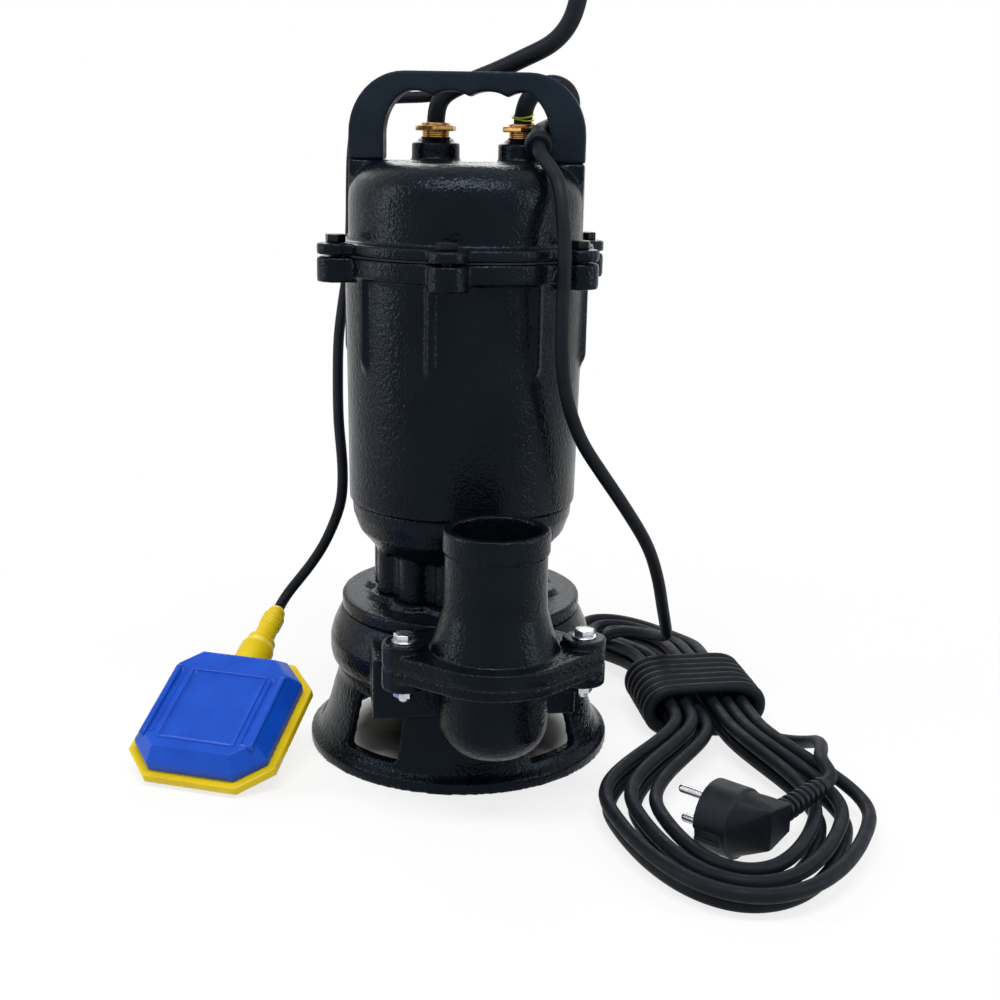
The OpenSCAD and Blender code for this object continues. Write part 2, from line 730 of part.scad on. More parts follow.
module upper_bearing_bracket() {
    color([0.4, 0.41, 0.43]) difference() {
        union() {
            translate([0, 0, z_bracket_seat]) cylinder(r = housing_bore_r + 3 - fit, h = 7);
            translate([0, 0, z_upper_bearing - 4]) cylinder(r = bearing_r + 5, h = 20);
        }
        translate([0, 0, z_upper_bearing]) cylinder(r = bearing_r + fit, h = 40);
        translate([0, 0, z_upper_bearing - 5]) cylinder(r = 10, h = 40);
        for (i = [0:3]) rotate([0, 0, 45 + 90 * i]) translate([42, 0, z_bracket_seat - 1])
            cylinder(r = 9, h = 20);
    }
}

module capacitor() {
    color([0.85, 0.86, 0.88]) translate([0, -41, z_bracket_seat + 7]) {
        cylinder(r = 16, h = 42);
        for (x = [-5, 5]) translate([x - 0.4, -3, 41]) cube([0.8, 6, 6]);
    }
}

module terminal_block() {
    color([0.9, 0.9, 0.86]) translate([-20, 34, z_bracket_seat + 7]) difference() {
        cube([40, 14, 12]);
        for (i = [0:3]) translate([5 + 10 * i, 7, 5]) cylinder(d = 5, h = 10, $fn = 24);
    }
}

bearing_levels = [z_lower_bearing, z_upper_bearing];
ball_pitch_r = (bearing_r + shaft_r) / 2;
bearing_ball_r = (bearing_r - shaft_r) * 0.29;

// Groove that the balls run in
module ball_track() {
    translate([0, 0, bearing_w / 2]) rotate_extrude()
        translate([ball_pitch_r, 0]) circle(r = bearing_ball_r + fit);
}

module bearing_outer_rings() {
    color([0.7, 0.71, 0.73]) for (z = bearing_levels) translate([0, 0, z]) difference() {
        ring(bearing_r, ball_pitch_r + 2, bearing_w);
        ball_track();
    }
}

module bearing_inner_rings() {
    color([0.7, 0.71, 0.73]) for (z = bearing_levels) translate([0, 0, z]) difference() {
        ring(ball_pitch_r - 2, shaft_r + fit, bearing_w);
        ball_track();
    }
}

module bearing_balls() {
    color([0.85, 0.86, 0.88]) for (z = bearing_levels) translate([0, 0, z + bearing_w / 2])
        for (i = [0:bearing_ball_count - 1]) rotate([0, 0, 360 / bearing_ball_count * i])
            translate([ball_pitch_r, 0, 0]) sphere(r = bearing_ball_r, $fn = 24);
}

module shaft() {
    color([0.72, 0.73, 0.75]) {
        translate([0, 0, z_impeller - 5]) cylinder(r = 4, h = 12);
        translate([0, 0, z_impeller + 6]) cylinder(r = shaft_r, h = z_upper_bearing + bearing_w + 2 - z_impeller - 6);
        translate([0, 0, z_lower_bearing + bearing_w + 0.5])
            cylinder(r = rotor_bore_r, h = z_upper_bearing - z_lower_bearing - bearing_w - 1);
    }
}

module rotor_core() {
    color([0.5, 0.51, 0.53]) translate([0, 0, z_core]) difference() {
        cylinder(r = rotor_r, h = core_h);
        translate([0, 0, -1]) cylinder(r = rotor_bore_r + fit, h = core_h + 2);
    }
}

module rotor_end_rings() {
    color([0.8, 0.81, 0.83]) for (z = [z_core - 6, z_core + core_h]) translate([0, 0, z])
        ring(rotor_r - 1, rotor_r - 12, 6);
}

z_seal = z_neck - 7;

module seal_seat() {
    color([0.9, 0.88, 0.82]) translate([0, 0, z_seal]) ring(15, shaft_r + 1, 6);
}

module seal_face() {
    color([0.15, 0.15, 0.16]) translate([0, 0, z_seal + 6 + fit]) {
        ring(11.5, shaft_r + fit, 5);
    }
}

spring_turns = 4;
spring_r = 10;
spring_wire = 1.6;

module seal_spring() {
    low = z_seal + 11 + fit + spring_wire / 2 + 0.1;
    route = [for (i = [0:spring_turns * 8])
        [spring_r * cos(45 * i), spring_r * sin(45 * i), low + 3.4 * i / 8]];
    color([0.8, 0.8, 0.82]) {
        tube(route, spring_wire / 2, 6);
        translate([0, 0, low + 3.4 * spring_turns + spring_wire / 2])
            ring(11.5, shaft_r + fit, 4);
    }
}

module impeller() {
    color([0.3, 0.31, 0.33]) translate([0, 0, z_impeller]) difference() {
        union() {
            translate([0, 0, vane_h]) cylinder(r = impeller_r, h = impeller_plate);
            translate([0, 0, 2]) cylinder(r = 12, h = vane_h + impeller_plate - 2);
            for (i = [0:vanes - 1]) rotate([0, 0, 360 / vanes * i]) intersection() {
                translate([0, impeller_r * 0.62, 0]) ring(impeller_r * 0.62 + 2, impeller_r * 0.62 - 2, vane_h + 1);
                cylinder(r = impeller_r - 0.5, h = vane_h + 1);
                translate([0, -5, -1]) cube([impeller_r, impeller_r + 5, vane_h + 3]);
            }
        }
        translate([0, 0, -1]) cylinder(r = 8.6, h = 3.1);
        translate([0, 0, -1]) cylinder(r = 4 + fit, h = 9);
        translate([0, 0, 6]) cylinder(r = shaft_r + fit, h = 30);
    }
}

module impeller_nut() {
    color([0.75, 0.76, 0.78]) translate([0, 0, z_impeller - 4]) difference() {
        hexagon(14, 6);
        translate([0, 0, -1]) cylinder(r = 4 + fit, h = 8);
    }
}

// ---- Float --------------------------------------------------------------------------------

float_pivot = [-118.4, 10.1, 66.7];   // centre of the rounded nose that the float swings about
float_yaw = -9.8;
float_tilt = 26.3;
float_reach = 87.5;                   // from the float's middle to that nose
nose_r = 5.6;
float_axis = [cos(float_tilt) * sin(-float_yaw), cos(float_tilt) * cos(float_yaw), sin(float_tilt)];

module at_float() {
    translate(float_pivot) rotate([0, 0, float_yaw]) rotate([float_tilt, 0, 0])
        translate([0, -float_reach, 0]) children();
}

// Rectangle with its corners cut off, drawn in by an inset
module float_outline(inset, height) {
    x = float_w / 2 - inset;
    y = float_l / 2 - inset;
    c = float_corner - inset * 0.58;
    linear_extrude(height)
        polygon([[x - c, -y], [x, c - y], [x, y - c], [x - c, y],
            [c - x, y], [-x, y - c], [-x, c - y], [c - x, -y]]);
}

module float_cavity(inset, low, high) {
    translate([0, 0, low]) float_outline(inset, high - low);
}

module float_shell_upper() {
    color([0.08, 0.25, 0.75]) at_float() difference() {
        hull() {
            float_outline(4.5, float_top_h * 0.4);
            translate([0, 0, float_top_h - 1]) float_outline(11, 1);
        }
        float_cavity(14, -1, float_top_h - 3);
        translate([-22, -29, float_top_h - 1]) cube([44, 50, 2]);
        for (side = [-1, 1]) translate([side * 29 - 2, -28, float_top_h - 1.2]) cube([4, 50, 2]);
        float_neck_cut();
    }
}

module float_shell_lower() {
    color([0.95, 0.85, 0.1]) at_float() difference() {
        union() {
            translate([0, 0, -float_rim_h]) float_outline(0, float_rim_h);
            hull() {
                translate([0, 0, -float_rim_h - 0.5]) float_outline(1, 1);
                translate([0, 0, -float_depth]) float_outline(15, 1);
            }
        }
        difference() {
            float_cavity(17, 3 - float_depth, 1);
            float_saddle();
        }
        float_neck_cut();
    }
}

// Pad inside the lower shell that the switch and the ball's tube stand on
module float_saddle() {
    translate([-16, -30, -float_depth]) cube([32, 60, float_depth - tube_r]);
}

module float_neck_cut() {
    translate([0, float_l / 2 - 12, 0]) rotate([-90, 0, 0])
        cylinder(r = float_neck_r + clear, h = 30);
}

module float_neck() {
    thread_r = 6.4;
    color([0.95, 0.85, 0.1]) at_float() difference() {
        union() {
            translate([0, float_l / 2 - 11.8, 0]) rotate([-90, 0, 0]) rotate_extrude()
                polygon([[0, 0], [float_neck_r, 0], [float_neck_r, 20], [float_neck_r - 1.5, 24],
                    [thread_r + 2.5, 27.5], [thread_r, 28.5],
                    [thread_r, float_reach - float_l / 2 + 11.8 - 3],
                    [0, float_reach - float_l / 2 + 11.8 - 3]]);
            for (i = [0:3]) translate([0, float_reach - 12.5 + 2.6 * i, 0]) rotate([-90, 0, 0])
                cylinder(r1 = thread_r, r2 = thread_r + 0.7, h = 1.3);
            translate([0, float_reach, 0]) sphere(r = nose_r);
        }
        translate([0, float_l / 2 - 13, 0]) rotate([-90, 0, 0]) cylinder(r = 6, h = 20);
    }
}

tube_r = float_ball_r + 2;

module float_switch() {
    tube_l = 2 * float_ball_r + float_ball_travel + 2 * fit;
    color([0.9, 0.9, 0.92]) at_float() {
        translate([-8, 15.5, -tube_r]) cube([16, 13, 14]);
        difference() {
            translate([0, 14 - tube_l, 0]) rotate([-90, 0, 0]) cylinder(r = tube_r, h = tube_l + 2);
            translate([0, 15.5 - tube_l, 0]) rotate([-90, 0, 0])
                cylinder(r = float_ball_r + fit, h = tube_l);
        }
    }
}

module float_ball() {
    color([0.8, 0.81, 0.83]) at_float()
        translate([0, 15.5 - fit - float_ball_r - float_ball_travel, 0]) sphere(r = float_ball_r);
}

// ---- Cables -----------------------------------------------------------------------------

supply_r = supply_d / 2;
float_r = float_d / 2;
sleeve_r = sleeve_d / 2;

// Float cable: the thick sleeve from the gland, then the thin lead to the float
float_sleeve_route = [[float_gland_x, gland_y, z_web], [float_gland_x, gland_y, 372],
    [-19, 23, 382], [-9, 24, 388], [16, 24, 398.4], [32.4, 24, 406.3], [45, 24, 412.5],
    [55, 24, 424], [59.5, 24.5, 440], [60, 29, 453], [60, 37, 459], [60, 46, 459]];
float_lead_route = [[60, 46, 459], [60, 53, 459], [59, 63, 452], [57, 66, 438],
    [50, 64, 423], [40, 59, 412], [25, 55, 404], [8, 49, 396], [-10, 43, 387],
    [-27, 40, 383], [-46, 40, 382], [-62, 45, 380], [-72, 52, 374], [-79, 65, 352],
    [-82, 75, 330], [-83, 78, 306], [-84, 75, 280], [-86, 68, 259], [-87, 58, 236],
    [-86, 50, 212], [-84, 42, 186], [-80, 34, 158], [-80, 30, 138], [-84, 30, 125],
    [-91, 30, 109], [-99, 29.5, 96], [-108, 28, 84], [-114, 25, 76.4]];

// Supply cable: sleeve, lead, hank, wraps and tail
collar_end = [42, -19, 355.5];
supply_sleeve_route = [[supply_gland_x, gland_y, z_web], [supply_gland_x, gland_y, 374],
    [33, 23, 384], [42, 25, 391], [52, 28, 390], [57.5, 30, 382], [55.5, 25.5, 373.5],
    [48, 17, 367], [41.6, 9, 364.5], [40.4, 0, 362.5], [40.8, -8, 359.5], collar_end];
supply_lead_route = [collar_end, [42.8, -26.4, 352.8], [48, -35, 347.5], [55, -44.5, 338],
    [58, -52, 322], [60, -57, 303], [60, -58.5, 284], [60, -58, 264], [60.5, -56.5, 244],
    [63.5, -52, 222], [71.5, -44, 198], [83, -34, 178], [97.5, -20, 154], [112, -1, 126],
    [119.5, 15, 101], [124, 31, 76], [127, 48, 58], [128, 66, 47], [125, 82, 40],
    [117, 96, 36], [106, 108, 33], [92, 118.5, 27.5]];

// The hank's strands run along Y, narrow at the waist, with a wide lobe in front and a
// smaller one behind. The loops lie inside one another in two layers.
waist = [146, 36];
hank_mid = 43.5;              // middle of the hank's length, in front of the waist
hank_half = 201.5;            // half of the hank's length
front_width = 93;
rear_width = 65;
end_step = 12;                // how far each loop lies inside the last, at the ends
front_step = 15;
rear_step = 16;
waist_step = 9.4;
waist_half = 3.13 * waist_step;
layer_step = supply_d + 0.9;
hank_start = 48;
hank_turn_back = 2.883;
rest_z = supply_r + 0.05;

function smooth(x) = let (c = max(0, min(1, x))) c * c * (3 - 2 * c);
function waist_share(s) = s > 0 ? 1 - smooth((s - 40) / 110) : 1 - smooth((-s - 55) / 75);
function bend(s) = let (k = max(abs(s) - 38, 0)) 0.24 * s - 0.21 * k * k / (k + 25);

function hank_point(u) =
    let (q = u < hank_turn_back ? u : 2 * hank_turn_back - u,
        phi = hank_start - 360 * u,
        s = hank_mid - (hank_half - end_step * q) * cos(phi),
        side = sin(phi) > 0 ? -1 : 1,
        lobe = s > 0 ? front_width - front_step * q : rear_width - rear_step * q,
        share = waist_share(s),
        across = side * (share * (waist_half - waist_step * q)
            + (1 - share) * abs(sin(phi)) * lobe),
        layer = 1 - smooth((u - hank_turn_back) / 0.5 + 0.5))
    [waist.x + bend(s) + across, waist.y - s,
        rest_z + layer_step * layer + (supply_d + 0.6) * share];

hank_rings = ceil(24 * hank_turns);
hank_first = hank_point(0);
hank_last = hank_point(hank_turns);
function straight_end(p, q) = p + supply_d * unit(q - p);
hank_route = concat(
    [hank_first, straight_end(hank_first, hank_point(0.03))],
    [for (i = [1:hank_rings - 1]) hank_point(hank_turns * i / hank_rings)],
    [straight_end(hank_last, hank_point(hank_turns - 0.03)), hank_last]);

// Wraps: a flattened helix round the waist
wrap_axis = unit([0.24, -1, 0]);
wrap_across = [-wrap_axis.y, wrap_axis.x, 0];
wrap_step = 8.5;
wrap_r = 12.9;
wrap_flat = 24.5;
wrap_start = -34;
wrap_offset = 2.3;
wrap_length = 4 * wrap_flat + 2 * PI * wrap_r;

// Point at a distance along the flattened circle, from its right side upwards
function wrap_section(distance) =
    let (quarter_arc = PI * wrap_r / 2, flat = 2 * wrap_flat,
        d = distance - floor(distance / wrap_length) * wrap_length)
    d < quarter_arc ? [wrap_flat + wrap_r * cos(d / wrap_r * 180 / PI), wrap_r * sin(d / wrap_r * 180 / PI)]
    : d < quarter_arc + flat ? [wrap_flat - (d - quarter_arc), wrap_r]
    : d < 3 * quarter_arc + flat ? let (a = 90 + (d - quarter_arc - flat) / wrap_r * 180 / PI)
        [-wrap_flat + wrap_r * cos(a), wrap_r * sin(a)]
    : d < 3 * quarter_arc + 2 * flat ? [-wrap_flat + (d - 3 * quarter_arc - flat), -wrap_r]
    : let (a = -90 + (d - 3 * quarter_arc - 2 * flat) / wrap_r * 180 / PI)
        [wrap_flat + wrap_r * cos(a), wrap_r * sin(a)];

wrap_middle_z = rest_z + wrap_r;
function wrap_point(turns) =
    let (p = wrap_section(turns * wrap_length), s = wrap_start + wrap_step * turns)
    [waist.x, waist.y, wrap_middle_z] + wrap_axis * s + wrap_across * (p[0] + wrap_offset) + [0, 0, p[1]];

wrap_end = wrap_turns - 0.11;
wrap_rings = ceil(24 * wrap_end);
wrap_lead_in = hank_last + supply_d * unit(hank_last - hank_point(hank_turns - 0.03));
wrap_route = concat(
    [hank_last, wrap_lead_in, wrap_lead_in + [6.5, -4.5, 0.5]],
    [for (i = [0:wrap_rings]) wrap_point(wrap_end * i / wrap_rings)]);
wrap_last = wrap_route[len(wrap_route) - 1];
tail_first = wrap_last + supply_d * unit(wrap_last - wrap_route[len(wrap_route) - 2]);

// Plug: lies inside the front lobe, with its cable out at the side
plug_place = [150, -131, 19.5];
plug_turn = -34;
plug_roll = 12.8;
outlet_angle = 80;
relief_from = [27, 24];
relief_length = 38;
relief_rise = 8;
function plug_point(x, y) = plug_place
    + [x * cos(plug_turn) - y * sin(plug_turn), x * sin(plug_turn) + y * cos(plug_turn), 0];
relief_reach = relief_length * cos(relief_rise);
relief_tip = plug_point(relief_from.x + relief_reach * cos(outlet_angle),
    relief_from.y + relief_reach * sin(outlet_angle))
    + [0, 0, relief_length * sin(relief_rise)];
relief_dir = unit(relief_tip - plug_point(relief_from.x, relief_from.y));
supply_tail_route = [wrap_last, tail_first, [193, 4, 5.5], [203, -8, 9], [211, -24, 16],
    [215, -42, 24.5], [215, -60, 28.5], [212, -75, 29],
    relief_tip + supply_d * relief_dir, relief_tip];

echo(hank_least_gap = least_gap([for (i = [0:430]) hank_point(hank_turns * i / 430)], 40, supply_d));
echo(wraps_least_gap = least_gap([for (i = [0:430]) wrap_point(wrap_end * i / 430)], 30, supply_d));
echo(tie_least_gap = least_gap([for (i = [0:96]) tie_point(i / 48)], 30, tie_wire));
echo(spring_least_gap = 3.4 - spring_wire);

module float_sleeve() {
    color([0.07, 0.07, 0.08]) tube(float_sleeve_route, sleeve_r, 12);
}

module float_lead() {
    route = concat(float_lead_route,
        [float_pivot + (nose_r + clear + float_d) * float_axis,
        float_pivot + (nose_r + clear) * float_axis]);
    color([0.07, 0.07, 0.08]) tube(route, float_r, 8);
}

module supply_sleeve() {
    color([0.07, 0.07, 0.08]) tube(supply_sleeve_route, sleeve_r, 12);
}

// Rubber collar on the sleeve's end, which the thinner cable comes out of
module sleeve_collar() {
    back = supply_sleeve_route[len(supply_sleeve_route) - 2];
    way = unit(collar_end - back);
    color([0.07, 0.07, 0.08]) difference() {
        tube([collar_end - 9 * way, collar_end - 7 * way, collar_end - 1.5 * way, collar_end], 7.6, 12);
        tube([collar_end - 10 * way, collar_end + way], sleeve_r + 0.25, 12);
    }
}

module supply_lead() {
    color([0.07, 0.07, 0.08])
        tube(concat(supply_lead_route, [hank_first - supply_d * unit(hank_point(0.03) - hank_first),
            hank_first]), supply_r, 8);
}

module supply_hank() {
    color([0.07, 0.07, 0.08]) tube(hank_route, supply_r, 6);
}

module supply_wraps() {
    color([0.07, 0.07, 0.08]) tube(wrap_route, supply_r, 6);
}

module supply_tail() {
    color([0.07, 0.07, 0.08]) tube(supply_tail_route, supply_r, 8);
}

tie_wire = 1.3;
function tie_point(u) = [supply_gland_x + (sleeve_r + 1.1) * cos(360 * u),
    gland_y + (sleeve_r + 1.1) * sin(360 * u), z_gland + 1.2 + 2.1 * u];

module wire_tie() {
    color([0.75, 0.85, 0.15]) tube([for (i = [0:48]) tie_point(i / 24)], tie_wire / 2, 6);
}

// ---- Plug ---------------------------------------------------------------------------------

module at_plug() {
    translate(plug_place) rotate([0, 0, plug_turn]) children();
}

module plug_body() {
    color([0.07, 0.07, 0.08]) at_plug() difference() {
        union() {
            rotate([0, 90, 0]) cylinder(r = plug_r, h = 19);
            hull() {
                translate([18, 0, 0]) rotate([0, 90, 0]) cylinder(r = plug_r - 1.5, h = 1, $fn = 32);
                translate([23, 2, -11]) cube([11, 4, 22]);
                translate([relief_from.x - 7, relief_from.y - 6, -8]) cube([14, 5, 16]);
            }
        }
        rotate([plug_roll, 0, 0]) for (side = [-1, 1])
            translate([-1, 0, side * pin_pitch / 2]) rotate([0, 90, 0])
                cylinder(d = pin_d + 2 * fit, h = 13);
        rotate([plug_roll, 0, 0]) for (side = [-1, 1])
            translate([-1, side * (plug_r + 1.5) - 3, -3]) cube([17, 6, 6]);
    }
}

module plug_pins() {
    color([0.8, 0.81, 0.83]) at_plug() rotate([plug_roll, 0, 0]) for (side = [-1, 1])
        translate([0, 0, side * pin_pitch / 2]) rotate([0, 90, 0]) {
            translate([0, 0, -pin_l + pin_d / 2]) cylinder(d = pin_d, h = pin_l - pin_d / 2 + 11);
            translate([0, 0, -pin_l + pin_d / 2]) sphere(d = pin_d);
        }
}

module plug_strain_relief() {
    color([0.07, 0.07, 0.08]) at_plug()
        translate([relief_from.x, relief_from.y, 0]) rotate([0, 0, outlet_angle])
            rotate([0, 90 - relief_rise, 0]) {
                cylinder(r1 = 5.2, r2 = 4.4, h = relief_length);
                for (i = [0:7]) translate([0, 0, 3 + 4.3 * i])
                    cylinder(r = 6.6 - 0.18 * i, h = 2.2);
            }
}

// ---- Pieces -------------------------------------------------------------------------------

strainer_base();
suction_plate();
volute_casing();
volute_lid();
lower_bracket();
motor_housing();
cover_gasket();
top_cover();
handle();
handle_screws();
cover_bolts();
gland_nuts();
gland_seals();
discharge_spout();
discharge_gasket();
discharge_bolts();
discharge_nuts();
casing_screws();
stator_core();
stator_windings();
upper_bearing_bracket();
capacitor();
terminal_block();
bearing_outer_rings();
bearing_balls();
bearing_inner_rings();
seal_seat();
seal_face();
seal_spring();
shaft();
rotor_core();
rotor_end_rings();
impeller();
impeller_nut();
wire_tie();
float_shell_upper();
float_shell_lower();
float_neck();
float_switch();
float_ball();
float_sleeve();
float_lead();
supply_sleeve();
sleeve_collar();
supply_lead();
supply_hank();
supply_wraps();
supply_tail();
plug_body();
plug_pins();
plug_strain_relief();
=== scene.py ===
"""Submersible sump pump with a tethered float switch and a bound supply cable.

Each sub-assembly is a class that builds its pieces in metres, in the part's own frame:
+Z up along the pump's axis, -Y towards the outlet. A piece that stands for a part of the
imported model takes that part's place, rides on its body and carries its material slot.
"""
from __future__ import annotations

import logging
import math
from dataclasses import dataclass, field
from enum import Enum
from typing import Callable, Iterable, Sequence

import bmesh
import bpy
from mathutils import Matrix, Vector

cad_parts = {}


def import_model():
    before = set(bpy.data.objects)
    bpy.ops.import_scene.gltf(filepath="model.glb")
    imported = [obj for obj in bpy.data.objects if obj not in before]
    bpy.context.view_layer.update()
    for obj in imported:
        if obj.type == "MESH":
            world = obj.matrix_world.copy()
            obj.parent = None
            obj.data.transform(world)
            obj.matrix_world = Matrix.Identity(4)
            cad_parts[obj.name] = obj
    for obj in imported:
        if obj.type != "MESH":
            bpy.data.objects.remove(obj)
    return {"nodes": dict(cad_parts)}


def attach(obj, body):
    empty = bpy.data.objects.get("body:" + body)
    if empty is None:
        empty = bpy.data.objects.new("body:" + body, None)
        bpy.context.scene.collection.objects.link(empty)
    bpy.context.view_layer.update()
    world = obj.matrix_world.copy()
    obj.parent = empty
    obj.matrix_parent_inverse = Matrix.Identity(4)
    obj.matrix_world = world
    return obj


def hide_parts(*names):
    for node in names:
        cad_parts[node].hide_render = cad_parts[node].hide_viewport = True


LOG = logging.getLogger("sump_pump")
MM = 0.001
CREASE = 32.0  # degrees; on machined parts, sharper edges stay sharp
Point = tuple[float, float, float]
Socket = bpy.types.NodeSocket
Shape = bmesh.types.BMesh
Piece = bpy.types.Object


class Body(str, Enum):
    """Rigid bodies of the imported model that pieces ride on."""

    PUMP = "pump"
    ROTOR = "rotor"
    BALLS = "ball_sets"
    FLOAT = "float"
    SWITCH_BALL = "switch_ball"


def mapped(tree: bpy.types.NodeTree, value: Socket, *limits: float,
           easing: str = "LINEAR") -> Socket:
    """Map a value between limits: from low and high, to low and high, held at the ends."""
    node = tree.nodes.new("ShaderNodeMapRange")
    node.interpolation_type = easing
    for name, number in zip(("From Min", "From Max", "To Min", "To Max"), limits):
        node.inputs[name].default_value = number
    tree.links.new(value, node.inputs["Value"])
    return node.outputs["Result"]


def added(name: str, data: bpy.types.ID) -> Piece:
    """New object in the scene, at the origin."""
    piece = bpy.data.objects.new(name, data)
    bpy.context.scene.collection.objects.link(piece)
    return piece


def turned(degrees: float, axis: str = "Z") -> Matrix:
    """Rotation about one axis."""
    return Matrix.Rotation(math.radians(degrees), 4, axis)


# ---- Finishes --------------------------------------------------------


class Shader:
    """Small builder of a node material around one Principled shader."""

    def __init__(self, name: str) -> None:
        """Start an empty material."""
        self.material = bpy.data.materials.new(name)
        self.material.use_nodes = True
        self.tree = self.material.node_tree
        self.bsdf = self.tree.nodes["Principled BSDF"]
        coordinates = self.tree.nodes.new("ShaderNodeTexCoord")
        self.place = coordinates.outputs["Object"]

    def put(self, **sockets: float | Sequence[float]) -> None:
        """Set the shader's own sockets, with underscores for the spaces in their names."""
        for name, value in sockets.items():
            self.bsdf.inputs[name.replace("_", " ")].default_value = value

    def stretched(self, scale: Point) -> Socket:
        """Object coordinates scaled by a different amount along each axis."""
        mapping = self.tree.nodes.new("ShaderNodeMapping")
        mapping.inputs["Scale"].default_value = scale
        self.tree.links.new(self.place, mapping.inputs["Vector"])
        return mapping.outputs["Vector"]

    def noise(self, scale: float, detail: float = 3.0, vector: Socket | None = None
              ) -> Socket:
        """Fractal noise, by repeats per metre and octaves, on the object's own coordinates."""
        node = self.tree.nodes.new("ShaderNodeTexNoise")
        node.inputs["Scale"].default_value = scale
        node.inputs["Detail"].default_value = detail
        self.tree.links.new(vector or self.place, node.inputs["Vector"])
        return node.outputs["Fac"]

    def cells(self, scale: float) -> Socket:
        """Distance to the nearest cell centre, for pebbled surfaces."""
        node = self.tree.nodes.new("ShaderNodeTexVoronoi")
        node.feature = "SMOOTH_F1"
        node.inputs["Scale"].default_value = scale
        self.tree.links.new(self.place, node.inputs["Vector"])
        return node.outputs["Distance"]

    def ramp(self, value: Socket, *limits: float) -> Socket:
        """Map a value between limits: from low and high, to low and high, held at the ends."""
        return mapped(self.tree, value, *limits)

    def mixed(self, factor: Socket, first: Sequence[float],
              second: Sequence[float]) -> Socket:
        """Colour between two colours by a factor."""
        node = self.tree.nodes.new("ShaderNodeMix")
        node.data_type = "RGBA"
        node.inputs["A"].default_value = (*first, 1.0)
        node.inputs["B"].default_value = (*second, 1.0)
        self.tree.links.new(factor, node.inputs["Factor"])
        return node.outputs["Result"]

    def link(self, value: Socket, socket: str) -> None:
        """Join a value to one of the shader's sockets."""
        self.tree.links.new(value, self.bsdf.inputs[socket])

    def bump(self, heights: Sequence[tuple[Socket, float]]) -> None:
        """Stack bumps, each a height's socket and its depth in metres."""
        normal = None
        for value, depth in heights:
            node = self.tree.nodes.new("ShaderNodeBump")
            node.inputs["Strength"].default_value = 1.0
            node.inputs["Distance"].default_value = depth
            self.tree.links.new(value, node.inputs["Height"])
            if normal is not None:
                self.tree.links.new(normal, node.inputs["Normal"])
            normal = node.outputs["Normal"]
        if normal is not None:
            self.link(normal, "Normal")


@dataclass(frozen=True)
class CastPaint:
    """Paint brushed or sprayed over a sand casting.

    Patches, wear, waves, pebbles and grain are repeats per metre; depths are in metres.
    """

    name: str
    colour: Point
    dusty: Point
    roughness: float = 0.17
    pebble: float = 430.0
    depth: float = 0.00042
    gloss: float = 0.12
    tint: tuple[float, float, float, float] = (0.62, 0.81, 1.0, 1.0)
    patches: float = 38.0
    wear: float = 90.0
    waves: float = 26.0
    grain: float = 1900.0
    grain_depth: float = 0.00002

    def material(self) -> bpy.types.Material:
        """Build the material."""
        s = Shader(self.name)
        wide = s.noise(self.patches, 4.0)
        s.link(s.mixed(s.ramp(wide, 0.35, 0.75, 0.0, 1.0), self.colour, self.dusty), "Base Color")
        s.link(s.ramp(s.noise(self.wear, 5.0), 0.3, 0.7, self.roughness * 0.7,
                      self.roughness * 1.5), "Roughness")
        s.put(Specular_IOR_Level=self.gloss, Specular_Tint=self.tint)
        s.bump([(s.noise(self.waves, 2.0), self.depth * 0.9),
                (s.noise(self.pebble, 3.0), self.depth),
                (s.cells(self.pebble * 1.8), -self.depth * 0.5),
                (s.noise(self.grain, 2.0), self.grain_depth)])
        return s.material


@dataclass(frozen=True)
class Moulded:
    """Plastic or rubber from a mould."""

    name: str
    colour: Point
    shade: Point
    roughness: float
    grain: float = 1500.0
    depth: float = 0.00003
    gloss: float = 0.5
    glow: float = 0.0

    def material(self) -> bpy.types.Material:
        """Build the material."""
        s = Shader(self.name)
        s.link(s.mixed(s.ramp(s.noise(55.0, 4.0), 0.35, 0.7, 0.0, 1.0), self.colour, self.shade),
               "Base Color")
        s.link(s.ramp(s.noise(160.0, 5.0), 0.3, 0.7, self.roughness * 0.82,
                      min(1.0, self.roughness * 1.2)), "Roughness")
        s.put(Specular_IOR_Level=self.gloss)
        if self.glow:
            s.put(Subsurface_Weight=self.glow, Subsurface_Radius=(0.004, 0.002, 0.001))
        s.bump([(s.noise(self.grain, 3.0), self.depth), (s.noise(70.0, 2.0), self.depth * 3.0)])
        return s.material


@dataclass(frozen=True)
class Metal:
    """Bare or plated metal."""

    name: str
    colour: Point
    dull: Point
    roughness: float
    brushed: Point = (1.0, 1.0, 1.0)
    depth: float = 0.00001

    def material(self) -> bpy.types.Material:
        """Build the material."""
        s = Shader(self.name)
        s.put(Metallic=1.0)
        s.link(s.mixed(s.ramp(s.noise(210.0, 4.0), 0.35, 0.7, 0.0, 1.0), self.colour, self.dull),
               "Base Color")
        lines = s.noise(900.0, 3.0, s.stretched(self.brushed))
        s.link(s.ramp(lines, 0.3, 0.7, self.roughness * 0.7, self.roughness * 1.4), "Roughness")
        s.bump([(lines, self.depth)])
        return s.material


@dataclass(frozen=True)
class Laminated:
    """Stacked sheets of electrical steel, seen from their edges."""

    name: str
    colour: Point

    def material(self) -> bpy.types.Material:
        """Build the material."""
        s = Shader(self.name)
        s.put(Metallic=1.0)
        sheets = s.noise(2.0, 0.0, s.stretched((1.0, 1.0, 900.0)))
        s.link(s.mixed(sheets, self.colour, tuple(c * 0.6 for c in self.colour)), "Base Color")
        s.put(Roughness=0.45)
        s.bump([(sheets, 0.00005)])
        return s.material


